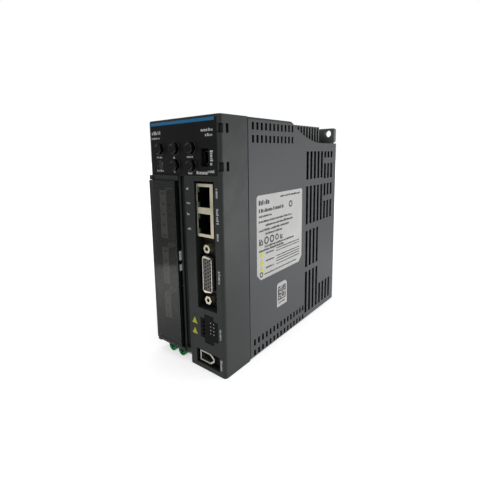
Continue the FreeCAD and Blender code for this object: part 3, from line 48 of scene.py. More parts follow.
OUT_OF_FRONT = Vector((0, -INK * MM, 0))
OUT_OF_SIDE = Vector((INK * MM, 0, 0))
KEYS = ("mode_button", "up_button", "shift_button", "down_button", "set_button")
random.seed(7)


def at(x, y, z):
    """Point of the drive: x right from its left side, y back from the front wall, z up, in millimetres."""
    return Vector((LEFT + x * MM, FRONT + y * MM, BASE + z * MM))


# ---------------------------------------------------------------- shader nodes

class Nodes:
    """The shader nodes of one material. Radii, reaches and depths are in millimetres.

    place is the point in the frame, and x, y and z are its parts, in metres.
    """

    def __init__(self, name):
        self.material = bpy.data.materials.new(name)
        self.material.use_nodes = True
        self.tree = self.material.node_tree
        self.tree.nodes.clear()
        self.place = self.add("ShaderNodeTexCoord").outputs["Object"]
        self.x, self.y, self.z = self.add("ShaderNodeSeparateXYZ", {0: self.place}).outputs

    def add(self, kind, inputs=None, **settings):
        node = self.tree.nodes.new(kind)
        for key, value in settings.items():
            setattr(node, key, value)
        for key, value in (inputs or {}).items():
            self.put(node.inputs[key], value)
        return node

    def put(self, socket, value):
        if isinstance(value, bpy.types.NodeSocket):
            self.tree.links.new(value, socket)
        else:
            socket.default_value = value

    def math(self, operation, first, second=0.0, clamp=False):
        node = self.add("ShaderNodeMath", {0: first, 1: second}, operation=operation)
        node.use_clamp = clamp
        return node.outputs[0]

    def mix(self, factor, first, second, blend="MIX"):
        node = self.add("ShaderNodeMix", {"Factor": factor, 6: first, 7: second},
                        data_type="RGBA", blend_type=blend)
        return node.outputs[2]

    def noise(self, scale, detail=3.0, rough=0.55, place=None):
        return self.add("ShaderNodeTexNoise", {"Vector": place or self.place, "Scale": scale,
                                               "Detail": detail, "Roughness": rough}).outputs["Fac"]

    def span(self, value, low, high, new_low=0.0, new_high=1.0):
        return self.add("ShaderNodeMapRange", {"Value": value, "From Min": low, "From Max": high,
                                               "To Min": new_low, "To Max": new_high}).outputs[0]

    def spread(self, noise, new_low=0.0, new_high=1.0):
        """A noise's usual range, 0.3 to 0.7, brought to a new one."""
        return self.span(noise, 0.3, 0.7, new_low, new_high)

    def between(self, value, low, high):
        """1 between two values, 0 outside them."""
        return self.math("MULTIPLY", self.math("GREATER_THAN", value, low),
                         self.math("LESS_THAN", value, high))

    def mottle(self, scale, detail, first, second):
        """Two tones that drift into each other."""
        return self.mix(self.spread(self.noise(scale, detail)), first, second)

    def times(self, colour, value):
        """A colour made darker or lighter by a value that varies over the surface."""
        grey = self.add("ShaderNodeCombineColor", {0: value, 1: value, 2: value}).outputs[0]
        return self.mix(1.0, colour, grey, "MULTIPLY")

    def away(self):
        """Distance from the middle of the frame, in metres."""
        return self.add("ShaderNodeVectorMath", {0: self.place}, operation="LENGTH").outputs["Value"]

    def stretch(self, x, y, z):
        return self.add("ShaderNodeMapping", {"Vector": self.place, "Scale": (x, y, z)}).outputs[0]

    def edge(self, radius):
        """1 on edges, 0 on flats, from a rounded normal against the true one; with the rounded normal."""
        round_normal = self.add("ShaderNodeBevel", {"Radius": radius * MM}, samples=4).outputs[0]
        true_normal = self.add("ShaderNodeNewGeometry").outputs["True Normal"]
        dot = self.add("ShaderNodeVectorMath", {0: round_normal, 1: true_normal},
                       operation="DOT_PRODUCT").outputs["Value"]
        return self.span(dot, 0.985, 0.80), round_normal

    def edged(self, edge, amount, base, colour):
        """A base whose edges go part of the way to another colour."""
        return self.mix(self.math("MULTIPLY", edge, amount), base, colour)

    def patchy_highlight(self, edge, scale, least):
        """Patchy painted highlight along the edges, never less than a least amount of it."""
        return self.math("MULTIPLY", edge, self.span(self.noise(scale), 0.35, 0.7, least, 1.0), clamp=True)

    def open_air(self, reach, shut, clear):
        """0 deep in a recess, 1 in the open, from how much of the space within reach is free."""
        free = self.add("ShaderNodeAmbientOcclusion", {"Distance": reach * MM}, samples=6).outputs["AO"]
        return self.span(free, shut, clear)

    def bump(self, height, strength, depth, normal=None):
        node = self.add("ShaderNodeBump", {"Height": height, "Strength": strength, "Distance": depth * MM})
        if normal is not None:
            self.put(node.inputs["Normal"], normal)
        return node.outputs[0]

    def surface(self, **inputs):
        named = {key.replace("_", " "): value for key, value in inputs.items()}
        return self.add("ShaderNodeBsdfPrincipled", named).outputs[0]

    def finish(self, shader):
        self.add("ShaderNodeOutputMaterial", {"Surface": shader})
        return self.material


def rgb(red, green, blue):
    """Colour from 0 to 255 display values."""
    def linear(value):
        value /= 255
        return value / 12.92 if value <= 0.04045 else ((value + 0.055) / 1.055) ** 2.4
    return (linear(red), linear(green), linear(blue), 1.0)


def shade(colour, factor):
    """Colour made lighter or darker by a factor."""
    return tuple(min(1.0, part * factor) for part in colour[:3]) + (1.0,)


# ---------------------------------------------------------------- materials

def moulded(name, colour, rough=0.5, grain=2600, grain_depth=0.25, edge_highlight=1.5, recess=6,
            recess_shade=0.35, radius=0.5, coat=0.0, shine=0.4):
    """Moulded plastic: fine spark-eroded grain, slow colour drift, a patchy painted highlight on the edges,
    painted shade in recesses.
    """
    n = Nodes(name)
    base = n.times(colour, n.spread(n.noise(28, 2), 0.92, 1.08))
    edge, round_normal = n.edge(radius)
    # painted highlight: the edges go patchily lighter, by a factor on the colour
    base = n.mix(n.patchy_highlight(edge, 420, 0.45), base, shade(colour, edge_highlight))
    # painted shade: recesses go darker, down to a share of the colour
    base = n.mix(n.open_air(recess, 0.15, 0.85), shade(colour, recess_shade), base)
    grain_noise = n.noise(grain, 2)
    roughness = n.math("ADD", n.spread(grain_noise, -0.06, 0.06),
                       n.spread(n.noise(90), rough - 0.04, rough + 0.04))
    normal = n.bump(grain_noise, grain_depth, 0.06, round_normal)
    return n.finish(n.surface(Base_Color=base, Roughness=roughness, Normal=normal, Coat_Weight=coat,
                              Coat_Roughness=0.25, Specular_IOR_Level=shine))


def metal(name, colour, rough=0.3, streak=(1, 1, 1), scale=600, depth=0.15, tarnish=0.75):
    """Plated or uncoated metal: fine streaks, tarnish in patches, a painted highlight on edges and painted
    shade in corners.
    """
    n = Nodes(name)
    grain = n.noise(scale, 4, 0.6, n.stretch(*streak))
    patch = n.span(n.noise(110, 4), 0.35, 0.7)
    edge, round_normal = n.edge(0.3)
    # painted highlight: edges lightened to 1.25 times the colour
    base = n.edged(edge, 0.6, n.mix(patch, colour, shade(colour, tarnish)), shade(colour, 1.25))
    # painted shade: corners and recesses darkened to 0.3 of the colour
    base = n.mix(n.open_air(4, 0.1, 0.8), shade(colour, 0.3), base)
    roughness = n.span(grain, 0.25, 0.75, rough - 0.07, rough + 0.1)
    normal = n.bump(grain, depth, 0.05, round_normal)
    return n.finish(n.surface(Base_Color=base, Metallic=1.0, Roughness=roughness, Normal=normal))


def printed(name, colour, patchy):
    """Screen-printed ink: slightly uneven cover, down to its patchy value, and a faint raised bump."""
    n = Nodes(name)
    base = n.times(colour, n.spread(n.noise(900), patchy, 1.0))
    normal = n.bump(n.noise(3000, 2), 0.2, 0.03)
    return n.finish(n.surface(Base_Color=base, Roughness=0.55, Normal=normal))


def smoked_cover():
    """Smoked glossy sheet: what is behind it shows dimly, except through its two rolled side walls."""
    n = Nodes("smoked_cover")
    edge, round_normal = n.edge(0.5)
    tint = n.mottle(60, 3, rgb(12, 12, 13), rgb(18, 18, 20))
    # painted highlight: the edges go part way to a light grey
    tint = n.edged(edge, 0.35, tint, rgb(128, 130, 132))
    scratches = n.noise(1800, 3, 0.6, n.stretch(1, 1, 0.12))
    roughness = n.span(scratches, 0.3, 0.75, 0.08, 0.13)
    normal = n.bump(scratches, 0.015, 0.03, round_normal)
    body = n.surface(Base_Color=tint, Roughness=roughness, Normal=normal, IOR=1.6, Coat_Weight=0.3,
                     Coat_Roughness=0.08)
    clear = n.add("ShaderNodeBsdfTransparent", {"Color": (0.88, 0.88, 0.86, 1)}).outputs[0]
    facing = n.add("ShaderNodeSeparateXYZ", {0: n.add("ShaderNodeTexCoord").outputs["Normal"]})
    rolled = n.math("GREATER_THAN", n.math("ABSOLUTE", facing.outputs[0]), 0.5)
    see_less = n.math("MULTIPLY", n.math("MAXIMUM", edge, rolled), 0.56)
    body_share = n.math("ADD", 0.42, see_less, clamp=True)
    return n.finish(n.add("ShaderNodeMixShader", {0: body_share, 1: clear, 2: body}).outputs[0])


def terminal_plug():
    """Pluggable terminal: pale wire entries at the left, dark spring levers at the right."""
    n = Nodes("terminal_plug")
    levers = n.math("GREATER_THAN", n.x, LEFT + 14 * MM)
    grain = n.noise(2600, 2)
    pale = n.mottle(40, 3, rgb(200, 201, 198), rgb(222, 222, 218))
    edge, round_normal = n.edge(0.4)
    # painted highlight: the edges go part way to a paler colour
    base = n.edged(edge, 0.4, n.mix(levers, pale, rgb(46, 47, 48)), rgb(236, 236, 232))
    # painted shade: recesses go dark grey
    base = n.mix(n.open_air(1, 0.1, 0.6), rgb(60, 60, 60), base)
    return n.finish(n.surface(Base_Color=base, Roughness=n.spread(grain, 0.44, 0.56),
                              Normal=n.bump(grain, 0.2, 0.06, round_normal)))


def film_panel():
    """Textured keypad film: fine emboss, soft sheen, and a smoother window where the display lies."""
    n = Nodes("keypad_film")
    fine = n.noise(3600, 2)
    low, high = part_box("display_module")
    window = n.math("MULTIPLY", n.between(n.x, low.x + 0.4 * MM, high.x - 0.4 * MM),
                    n.between(n.z, low.z + 0.6 * MM, high.z - 0.6 * MM))
    base = n.mottle(45, 3, rgb(9, 9, 11), rgb(15, 15, 17))
    base = n.mix(window, base, rgb(12, 12, 14))
    edge, round_normal = n.edge(0.3)
    # painted highlight: the edges go part way to a lighter grey
    base = n.edged(edge, 0.6, base, rgb(62, 64, 68))
    roughness = n.math("SUBTRACT", n.spread(fine, 0.42, 0.52), n.math("MULTIPLY", window, 0.14))
    emboss = n.math("SUBTRACT", 0.16, n.math("MULTIPLY", window, 0.13))
    normal = n.bump(fine, emboss, 0.05, round_normal)
    return n.finish(n.surface(Base_Color=base, Roughness=roughness, Normal=normal, Specular_IOR_Level=0.24))


def housing():
    """Rear housing: grained grey shell outside with a patchy painted highlight on its edges; painted shade
    inside, near black so that the vents read as dark, and in its recesses.
    """
    n = Nodes("housing_shell")
    skin = 0.5 * MM
    roof_zone = BASE + 144 * MM             # above this the whole shell counts as outside
    edge, round_normal = n.edge(0.6)
    grain_noise = n.noise(2300, 2)
    base = n.mottle(14, 3, rgb(53, 54, 57), rgb(58, 61, 63))
    # painted highlight: the edges go patchily lighter grey
    base = n.mix(n.patchy_highlight(edge, 380, 0.5), base, rgb(134, 137, 139))
    # everything but the outside gets painted shade, near black
    outside = n.math("GREATER_THAN", n.x, RIGHT - skin)
    for side in (n.math("LESS_THAN", n.x, LEFT + skin), n.math("GREATER_THAN", n.z, roof_zone),
                 n.math("LESS_THAN", n.z, BASE + skin)):
        outside = n.math("MAXIMUM", outside, side)
    base = n.mix(outside, rgb(5, 5, 6), base)
    # painted shade: recesses go near black
    base = n.mix(n.open_air(4, 0.25, 0.85), rgb(7, 7, 8), base)
    roughness = n.math("ADD", n.spread(grain_noise, -0.05, 0.05), 0.5)
    normal = n.bump(grain_noise, 0.22, 0.06, round_normal)
    return n.finish(n.surface(Base_Color=base, Roughness=roughness, Normal=normal, Specular_IOR_Level=0.4))


def cast_sink():
    """Cast heat sink: satin alloy on its top, left and back, with a painted highlight on its edges; painted
    shade, near black, between the fins and in its recesses.
    """
    n = Nodes("cast_sink")
    fine = n.noise(2600, 3)
    skin_lumps = n.math("ADD", n.noise(700, 5, 0.65), n.math("MULTIPLY", fine, 0.5))
    edge, round_normal = n.edge(0.5)
    # painted highlight: the edges go part way to a lighter grey
    base = n.edged(edge, 0.5, n.mottle(60, 4, rgb(91, 92, 93), rgb(97, 98, 98)), rgb(150, 150, 148))
    top = n.span(n.z, BASE + 140 * MM, BASE + 152 * MM)
    back_plate = n.math("GREATER_THAN", n.y, FRONT + 151 * MM)
    left = n.math("LESS_THAN", n.x, LEFT + 0.5 * MM)
    unshaded = n.math("MAXIMUM", n.math("MAXIMUM", top, back_plate), left)
    # painted shade: all but the top, left and back is painted near black and not metal
    base = n.mix(unshaded, rgb(16, 16, 16), base)
    # painted shade: recesses go near black
    base = n.mix(n.open_air(8, 0.12, 0.7), rgb(8, 8, 8), base)
    return n.finish(n.surface(Base_Color=base, Metallic=n.math("MULTIPLY", unshaded, 0.4),
                              Roughness=n.spread(fine, 0.42, 0.58),
                              Normal=n.bump(skin_lumps, 0.3, 0.08, round_normal)))


def socket_shell():
    """Plated shell of the input/output socket: bright at its mouth, with a painted highlight on its edges
    there; painted shade, near black, on the flange behind.
    """
    n = Nodes("socket_shell")
    grain = n.noise(900, 4, 0.6)
    mouth = n.span(n.y, FRONT + 2.9 * MM, FRONT + 4.2 * MM, 1.0, 0.0)
    edge, round_normal = n.edge(0.2)
    # painted shade: behind the mouth the shell is painted near black and not metal
    base = n.mix(mouth, rgb(26, 26, 26), rgb(222, 215, 198))
    # painted highlight: edges at the mouth go part way to a paler colour
    base = n.edged(edge, n.math("MULTIPLY", mouth, 0.5), base, rgb(240, 236, 224))
    return n.finish(n.surface(Base_Color=base, Metallic=mouth, Roughness=n.span(grain, 0.25, 0.75, 0.24, 0.4),
                              Normal=n.bump(grain, 0.12, 0.05, round_normal)))


def label_stock():
    """Printed label film, faintly creased and with a soft gloss."""
    n = Nodes("label_stock")
    edge, round_normal = n.edge(0.2)
    base = n.mottle(35, 3, rgb(178, 178, 177), rgb(192, 192, 190))
    # painted shade: the edges go part way to a darker grey
    base = n.edged(edge, 0.5, base, rgb(150, 150, 150))
    crease = n.noise(160, 4)
    return n.finish(n.surface(Base_Color=base, Roughness=n.spread(crease, 0.35, 0.5),
                              Normal=n.bump(crease, 0.08, 0.2, round_normal)))


def board():
    """Circuit board: solder mask with fine tracks and pads."""
    n = Nodes("circuit_board")
    tracks = n.add("ShaderNodeTexBrick", {"Vector": n.stretch(0, 1, 1), "Scale": 220.0, "Mortar Size": 0.03},
                   offset=0.37).outputs["Fac"]
    pads = n.span(n.add("ShaderNodeTexVoronoi", {"Vector": n.place, "Scale": 420.0}).outputs["Distance"],
                  0.18, 0.12)
    base = n.mix(tracks, rgb(20, 74, 44), rgb(34, 100, 60))
    base = n.mix(pads, base, rgb(176, 170, 140))
    return n.finish(n.surface(Base_Color=base, Roughness=0.32, Metallic=n.math("MULTIPLY", pads, 0.8),
                              Normal=n.bump(n.math("ADD", tracks, pads), 0.3, 0.05)))


def tinted_lens(name, colour, glow=0.0):
    """Tinted moulded lamp lens or light pipe: deep colour under a gloss, slightly frosted."""
    n = Nodes(name)
    frost = n.noise(1500, 2)
    edge, round_normal = n.edge(0.2)
    # painted highlight: edges lightened to 1.8 times the colour
    base = n.edged(edge, 0.5, colour, shade(colour, 1.8))
    return n.finish(n.surface(Base_Color=base, Roughness=n.spread(frost, 0.12, 0.28), IOR=1.49,
                              Normal=n.bump(frost, 0.1, 0.04, round_normal), Coat_Weight=0.5,
                              Emission_Color=colour, Emission_Strength=glow))


def ribbed_ribbon():
    """Flat ribbon cable: a round rib for each wire."""
    n = Nodes("ribbon_cable")
    wave = n.add("ShaderNodeTexWave", {"Vector": n.place, "Scale": 125.0}, bands_direction="Y").outputs["Fac"]
    # painted shade: darker grey in the grooves between the ribs, lighter grey on them
    base = n.mix(n.span(wave, 0.2, 0.8), rgb(96, 97, 100), rgb(150, 151, 154))
    return n.finish(n.surface(Base_Color=base, Roughness=0.5, Normal=n.bump(wave, 0.6, 0.3)))


def wound_choke():
    """Coated ring with turns of wire round it."""
    n = Nodes("wound_choke")
    low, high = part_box("filter_choke")
    middle = (low + high) / 2
    angle = n.math("ARCTAN2", n.math("SUBTRACT", n.z, middle.z), n.math("SUBTRACT", n.y, middle.y))
    turns = n.math("SINE", n.math("MULTIPLY", angle, 44.0))
    base = n.mix(n.span(turns, -0.9, -0.3), rgb(22, 62, 40), rgb(168, 92, 44))
    return n.finish(n.surface(Base_Color=base, Metallic=n.span(turns, -0.9, -0.3, 0.0, 0.8), Roughness=0.35,
                              Normal=n.bump(turns, 0.8, 0.6)))


# Each moulded finish below has a painted highlight on its edges and painted shade in its recesses.
SHELL = moulded("bezel_shell", rgb(50, 53, 53), 0.48, edge_highlight=4.0, radius=0.7, recess=8,
                recess_shade=0.2, shine=0.26)
RING = moulded("key_ring", rgb(14, 14, 16), 0.16, grain_depth=0.03, recess=1, radius=0.1, coat=0.6)
BLACK = moulded("connector_body", rgb(7, 7, 8), 0.62, edge_highlight=2.2, recess_shade=0.25, radius=0.3,
                shine=0.15)
KEY = moulded("key_cap", rgb(9, 9, 11), 0.18, grain=3400, grain_depth=0.03, edge_highlight=2.0, recess=3,
              radius=0.4, shine=0.3)
STRIPE = moulded("accent_film", rgb(22, 116, 172), 0.4, grain=3200, grain_depth=0.1, edge_highlight=1.3,
                 radius=0.2)
LATCH = moulded("latch_white", rgb(240, 240, 238), 0.4, edge_highlight=1.1, recess=1)
INSULATOR = moulded("socket_insulator", rgb(120, 121, 122), edge_highlight=1.4, radius=0.2, recess=1.2,
                    recess_shade=0.05)
NICKEL = metal("warm_nickel", rgb(236, 227, 203), 0.42, (1, 1, 0.15), 900, 0.3, tarnish=0.7)
BRIGHT = metal("bright_nickel", rgb(226, 224, 216), 0.36, (1, 1, 0.3), 900)
DARK_STEEL = metal("dark_steel", rgb(92, 91, 90), 0.24, (1, 0.3, 1), 900)
GOLD = metal("gold_contact", rgb(212, 178, 104), 0.25, (1, 0.2, 1), 1200)
ZINC = metal("zinc_screw", rgb(186, 188, 192), 0.32, (1, 1, 1), 1400)
TIN = metal("tinned_strap", rgb(176, 176, 170), 0.4, (1, 0.1, 1), 700)
GREEN = metal("green_screw", rgb(28, 128, 72), 0.34, (1, 1, 1), 1500, tarnish=0.6)
WHITE_INK = printed("white_ink", rgb(206, 207, 208), 0.9)
DARK_INK = printed("dark_ink", rgb(34, 34, 36), 0.8)
YELLOW_INK = printed("yellow_ink", rgb(210, 203, 26), 0.85)

# Each finish and the CAD nodes that have it. The other nodes, mostly connector bodies, are plain black.
FINISHES = (
    (SHELL, "front_bezel"),
    (housing(), "rear_housing"),
    (cast_sink(), "heat_sink"),
    (label_stock(), "rating_label", "code_label"),
    (film_panel(), "keypad_overlay"),
    (STRIPE, "accent_stripe"),
    (KEY, *KEYS),
    (tinted_lens("charge_lens", rgb(22, 11, 11)), "charge_lamp"),
    (tinted_lens("green_light_pipe", rgb(26, 84, 48), 0.03), "network_light_pipes"),
    (smoked_cover(), "terminal_cover"),
    (LATCH, "terminal_latches"),
    (terminal_plug(), "input_terminal_plug", "brake_terminal_plug", "motor_terminal_plug",
     "input_terminal_header", "brake_terminal_header", "motor_terminal_header"),
    (socket_shell(), "io_socket_shell"),
    (INSULATOR, "io_socket_insulator"),
    (NICKEL, "network_jack_shield", "io_jackscrews"),
    (BRIGHT, "encoder_socket_shell", "safety_plug_contacts", "safety_header_pins"),
    (DARK_STEEL, "service_port_shell"),
    (GOLD, "terminal_contacts", "network_jack_contacts", "io_socket_contacts"),
    (ZINC, "case_screws", "module_screws", "board_screws", "cover_hinge_pins"),
    (TIN, "ground_strap"),
    (GREEN, "ground_screws"),
    (board(), "control_board", "power_board", "display_board"),
    (moulded("display_body", rgb(14, 13, 14), 0.2, grain_depth=0.05), "display_module"),
    (moulded("nylon_spacer", rgb(208, 206, 196), 0.45, edge_highlight=1.1), "board_spacers"),
    (ribbed_ribbon(), "board_ribbon"),
    (wound_choke(), "filter_choke"),
    (moulded("film_capacitor", rgb(196, 140, 48), 0.35), "filter_capacitor"),
    (moulded("capacitor_sleeve", rgb(24, 34, 62), 0.28, grain_depth=0.05, coat=0.3), "bus_capacitors"),
    (moulded("thermal_pad", rgb(150, 152, 160), 0.7), "thermal_pad"),
)
FINISH = {name: finish for finish, *names in FINISHES for name in names}
for node_name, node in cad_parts.items():
    for material_slot in node.material_slots:
        material_slot.material = FINISH.get(node_name, BLACK)


# ---------------------------------------------------------------- how print and rims are made

def piece(name, mesh_maker, material, body):
    """New piece from a bmesh builder, with its finish, riding on a body."""
    mesh = bpy.data.meshes.new(name)
    shape = bmesh.new()
    mesh_maker(shape)
    bmesh.ops.recalc_face_normals(shape, faces=shape.faces)
    shape.to_mesh(mesh)
    shape.free()
    thing = bpy.data.objects.new(name, mesh)
    bpy.context.scene.collection.objects.link(thing)
    mesh.materials.append(material)
    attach(thing, body)
    return thing


def plate(shape, corners, depth):
    """Thin closed plate: its outline, pushed out by a vector."""
    near = [shape.verts.new(corner) for corner in corners]
    far = [shape.verts.new(corner + depth) for corner in corners]
    shape.faces.new(near)
    shape.faces.new(reversed(far))
    for step in range(len(near)):
        after = (step + 1) % len(near)
        shape.faces.new((near[after], near[step], far[step], far[after]))


def front_patch(shape, x, z, wide, tall):
    plate(shape, [at(x, 0, z), at(x + wide, 0, z), at(x + wide, 0, z + tall), at(x, 0, z + tall)],
          OUT_OF_FRONT)


def side_patch(shape, y, z, deep, tall):
    plate(shape, [at(WIDE, y, z), at(WIDE, y + deep, z), at(WIDE, y + deep, z + tall), at(WIDE, y, z + tall)],
          OUT_OF_SIDE)


# A letter's block as shares of its line's height: narrowest and widest, missing from its top, gap after it.
LETTER_WIDTHS = (0.3, 0.62)
LETTER_DROPS = (0.0, 0.22, 0.22, 0.34)
LETTER_GAPS = (0.14, 0.16, 0.2, 0.42)


def marks(shape, patch, start, low, long, tall, upright=False):
    """A run of small ink blocks of uneven width, like fine print seen from afar."""
    spent = 0.0
    while spent < long - 0.3 * tall:
        width = min(tall * random.uniform(*LETTER_WIDTHS), long - spent)
        height = tall - random.choice(LETTER_DROPS) * tall
        if upright:
            patch(shape, start, low + spent, height, width)
        else:
            patch(shape, start + spent, low, width, height)
        spent += width + tall * random.choice(LETTER_GAPS)


def checker(shape, y, z, wide, cells):
    """Small square mark on the right wall: its first row and column dark, and about half of the rest."""
    dark_share = 0.52
    size = wide / cells
    inked = size * 0.96
    for row in range(cells):
        for column in range(cells):
            if random.random() < dark_share or row == 0 or column == 0:
                side_patch(shape, y + column * size, z + row * size, inked, inked)


def side_ring(shape, y, z, radius):
    """Bold printed ring on the right wall."""
    steps = 28
    inner = radius - 0.42 * radius
    for step in range(steps):
        turns = [2 * math.pi * (step + part) / steps for part in (0, 1)]
        corners = [at(WIDE, y + reach * math.cos(turn), z + reach * math.sin(turn))
                   for reach, turn in ((inner, turns[0]), (radius, turns[0]),
                                       (radius, turns[1]), (inner, turns[1]))]
        plate(shape, corners, OUT_OF_SIDE)


def lathe(shape, centre, profile):
    """Closed ring about a Y axis through the centre: its profile is pairs of radius and depth, in mm."""
    steps = 40
    rings = []
    for step in range(steps):
        turn = 2 * math.pi * step / steps
        across = Vector((math.cos(turn), 0, math.sin(turn)))
        rings.append([shape.verts.new(centre + across * radius * MM + Vector((0, depth * MM, 0)))
                      for radius, depth in profile])
    for step in range(steps):
        here, there = rings[step], rings[(step + 1) % steps]
        for point in range(len(profile)):
            after = (point + 1) % len(profile)
            shape.faces.new((here[point], here[after], there[after], there[point]))


def rim(shape, box, profile):
    """Raised rim on the film, round the middle of a node's box."""
    middle = (box[0] + box[1]) / 2
    middle.y = FRONT
    lathe(shape, middle, profile)


# ---------------------------------------------------------------- print and rims of this drive

KEY_RIM = ((3.77, 0.1), (3.77, -0.05), (3.86, -0.12), (4.05, -0.08), (4.15, 0.0), (4.15, 0.1))
LAMP_RIM = ((2.63, 0.1), (2.63, -0.04), (2.75, -0.12), (2.95, 0.0), (2.95, 0.1))


def panel_print(shape):
    """Two lines in each top corner, and names under three keys and the lamp, beside the port and below it."""
    for x, z, long, tall in ((2.0, 151.0, 8.6, 2.2), (1.6, 148.2, 8.4, 1.2), (47.2, 150.9, 9.6, 1.7),
                             (50.5, 148.1, 6.3, 1.6), (6.0, 136.0, 5.2, 1.3), (34.7, 136.0, 5.2, 1.3),
                             (5.7, 127.3, 6.6, 1.3), (35.4, 126.2, 4.2, 1.3)):
        marks(shape, front_patch, x, z, long, tall)
    marks(shape, front_patch, 54.0, 131.6, 9.0, 2.2, upright=True)
    marks(shape, front_patch, 42.6, 126.3, 9.0, 1.9)
    marks(shape, front_patch, 51.9, 127.2, 5.4, 1.6)


def arrow_print(shape):
    """Arrow heads under the up and down keys."""
    for z, way in ((136.4, 1), (127.4, -1)):
        plate(shape, [at(22.0, 0, z - 0.7 * way), at(24.0, 0, z - 0.7 * way), at(23.0, 0, z + 0.9 * way)],
              OUT_OF_FRONT)


def rim_print(shape):
    """Short names left of the network jack, and names up the right edge beside the connectors."""
    for z, long in ((116.6, 2.3), (107.8, 3.0), (100.8, 2.2), (91.5, 2.8)):
        marks(shape, front_patch, 33.0, z, long, 1.4)
    for x, z, long in ((57.6, 112.8, 5.5), (57.6, 97.5, 9), (57.6, 87.5, 5), (57.8, 61.0, 8),
                       (57.8, 25.0, 7), (57.8, 4.6, 7)):
        marks(shape, front_patch, x, z, long, 1.7, upright=True)


def front_triangles(shape):
    """Plain triangles beside the safety connector."""
    for x, z in ((36.3, 31.7), (36.2, 24.4)):
        plate(shape, [at(x - 2.4, 0, z - 1.9), at(x + 2.4, 0, z - 1.9), at(x, 0, z + 2.4)], OUT_OF_FRONT)


def label_print(shape):
    """Rating label: headings, lines of data, fine print, small square marks and rings."""
    for y, z, long, tall in ((36.2, 104.2, 12.5, 3.2), (62.5, 107.2, 28.0, 1.3), (36.2, 99.2, 30.5, 2.5)):
        marks(shape, side_patch, y, z, long, tall)
    for y, z, long in ((36.2, 95.9, 16), (36.2, 92.3, 42), (44.0, 89.3, 36), (36.2, 86.2, 38),
                       (44.0, 83.4, 21), (43.0, 74.6, 39), (36.2, 72.4, 31)):
        marks(shape, side_patch, y, z, long, 1.6)
    for z in (70.9, 69.0, 65.2, 63.3, 61.4, 59.2):
        marks(shape, side_patch, 57.5, z, 33.0, 0.8)
    for z in (70.0, 64.6, 59.6):
        marks(shape, side_patch, 44.2, z, 10.5, 1.2)
    marks(shape, side_patch, 42.5, 55.6, 44.0, 0.9)
    for y, wide in ((36.4, 4.4), (62.4, 3.4)):
        checker(shape, y, 77.0, wide, 5)
    for y, z, radius in ((76.8, 100.8, 2.5), (45.0, 79.4, 2.7), (51.8, 79.4, 2.7), (58.2, 79.4, 2.2),
                         (38.8, 56.6, 1.9)):
        side_ring(shape, y, z, radius)


def label_triangles(shape):
    """Plain triangles down the label's lower left."""
    y = 39.4
    for z in (71.2, 65.6, 60.4):
        plate(shape, [at(WIDE, y - 2.3, z - 2.0), at(WIDE, y + 2.3, z - 2.0), at(WIDE, y, z + 2.2)],
              OUT_OF_SIDE)


def code_print(shape):
    """Square code of random cells over a line of print."""
    checker(shape, 60.0, 30.6, 10.6, 15)
    marks(shape, side_patch, 60.0, 28.2, 10.4, 1.0)


def key_rings(shape):
    """Raised glossy rim round each key well and round the lamp."""
    for name in KEYS:
        rim(shape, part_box(name), KEY_RIM)
    rim(shape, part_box("charge_lamp"), LAMP_RIM)


piece("panel_print", panel_print, WHITE_INK, "case")
piece("arrow_print", arrow_print, WHITE_INK, "case")
piece("rim_print", rim_print, WHITE_INK, "case")
piece("front_triangles", front_triangles, YELLOW_INK, "case")
piece("label_print", label_print, DARK_INK, "case")
piece("label_triangles", label_triangles, YELLOW_INK, "case")
piece("code_print", code_print, DARK_INK, "case")
piece("key_rings", key_rings, RING, "case")


# ---------------------------------------------------------------- camera, floor and light

CAMERA_PLACE = (0.1596, -0.2215, 0.1374)
CAMERA_HEADING, CAMERA_DIP, CAMERA_ROLL = 40.34, 9.01, -1.19        # degrees
CAMERA_SHIFT = (0.0229, -0.0638)
LENS = 25.86
FLOOR_LEVEL = BASE - 0.2 * MM
WHITE = (1, 1, 1, 1)

# Name, place, point it faces, size, power.
LAMPS = (
    ("top_light", (0.0, 0.0, 0.9), (0, 0, 0.08), (0.6, 0.6), 1.6),
    ("side_light", (0.5, 0.46, 0.13), (0, 0.03, 0.05), (0.5, 0.25), 1.1),
    ("low_right_light", (0.3, 0.1, 0.03), (0.03, 0.02, 0.03), (0.25, 0.05), 0.46),
    ("front_light", (0.1, -0.9, 0.45), (0, 0, 0.08), (0.3, 0.5), 1.7),
)


def aim_camera():
    camera_data = bpy.data.cameras.new("camera")
    camera_data.sensor_width = 36
    camera_data.lens = LENS
    camera_data.shift_x, camera_data.shift_y = CAMERA_SHIFT
    camera_data.clip_start = 0.01
    camera = bpy.data.objects.new("camera", camera_data)
    turn = (Matrix.Rotation(math.radians(CAMERA_HEADING), 4, "Z")
            @ Matrix.Rotation(math.radians(90 - CAMERA_DIP), 4, "X")
            @ Matrix.Rotation(math.radians(CAMERA_ROLL), 4, "Z"))
    camera.matrix_world = Matrix.Translation(CAMERA_PLACE) @ turn
    bpy.context.scene.collection.objects.link(camera)
    bpy.context.scene.camera = camera


def flat_ground(name, grow, **outline):
    """Flat mesh just under the drive, from a bmesh operator and its settings."""
    mesh = bpy.data.meshes.new(name)
    shape = bmesh.new()
    grow(shape, **outline)
    shape.to_mesh(mesh)
    shape.free()
    ground = bpy.data.objects.new(name, mesh)
    ground.location.z = FLOOR_LEVEL
    bpy.context.scene.collection.objects.link(ground)
    return ground


def floor_paper():
    """White paper that catches the drive's shadow; its glow brightens away from the drive, a painted shade
    round it.
    """
    n = Nodes("floor_paper")
    base = n.mottle(2, 2, (0.93, 0.93, 0.93, 1), (0.97, 0.97, 0.97, 1))
    # painted shade: the paper glows less near the drive
    glow = n.span(n.away(), 0.15, 0.7, 0.55, 1.0)
    return n.finish(n.surface(Base_Color=base, Roughness=0.9, Specular_IOR_Level=0.0,
                              Emission_Color=WHITE, Emission_Strength=glow))


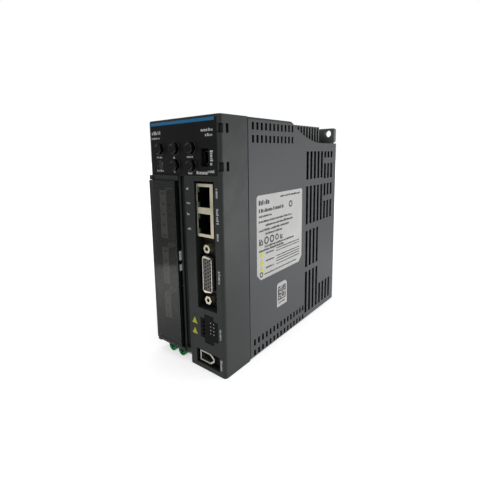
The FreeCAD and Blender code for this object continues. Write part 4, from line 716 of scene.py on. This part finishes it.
def table_paper():
    """Table as gloss sees it: lit near the drive and right of it, dimmer far off and at the left back."""
    n = Nodes("table_paper")
    away = n.away()
    lit = n.math("MAXIMUM", n.span(away, 0.1, 0.2, 0.6, 1.35), n.span(n.x, -0.03, 0.03))
    far = n.math("GREATER_THAN", away, 0.27)
    left_back = n.math("MULTIPLY", n.span(n.x, -0.03, -0.06), n.span(n.y, -0.09, -0.05))
    tone = n.math("SUBTRACT", lit, n.math("MULTIPLY", far, 0.9))
    tone = n.math("MULTIPLY", tone, n.span(left_back, 0.0, 1.0, 1.0, 0.1))
    return n.finish(n.surface(Base_Color=(0.05, 0.05, 0.05, 1), Roughness=0.9,
                              Emission_Color=WHITE, Emission_Strength=tone))


def lay_ground():
    """A floor that the camera sees, and a table that only reflections see."""
    floor = flat_ground("floor", bmesh.ops.create_grid, x_segments=4, y_segments=4, size=6)
    floor.data.materials.append(floor_paper())
    floor.visible_diffuse = False
    floor.visible_glossy = False

    table = flat_ground("table", bmesh.ops.create_circle, cap_ends=True, segments=48, radius=2.5)
    table.data.materials.append(table_paper())
    table.visible_camera = False
    table.visible_diffuse = False
    table.visible_shadow = False


def light_world():
    """White surroundings: full to the camera, a third of that as light."""
    world = bpy.data.worlds.new("studio")
    bpy.context.scene.world = world
    world.use_nodes = True
    tree = world.node_tree
    background = tree.nodes["Background"]
    background.inputs["Color"].default_value = WHITE
    seen = tree.nodes.new("ShaderNodeLightPath").outputs["Is Camera Ray"]
    strength = tree.nodes.new("ShaderNodeMapRange")
    strength.inputs["To Min"].default_value = 0.33
    strength.inputs["To Max"].default_value = 1.0
    tree.links.new(seen, strength.inputs["Value"])
    tree.links.new(strength.outputs[0], background.inputs["Strength"])


def hang_lamp(name, place, aim, size, power):
    light = bpy.data.lights.new(name, "AREA")
    light.shape = "RECTANGLE"
    light.size, light.size_y = size
    light.energy = power
    lamp = bpy.data.objects.new(name, light)
    lamp.location = place
    lamp.rotation_euler = (Vector(aim) - Vector(place)).to_track_quat("-Z", "Y").to_euler()
    bpy.context.scene.collection.objects.link(lamp)


bpy.context.scene.view_settings.view_transform = "Standard"
aim_camera()
lay_ground()
light_world()
for lamp_row in LAMPS:
    hang_lamp(*lamp_row)
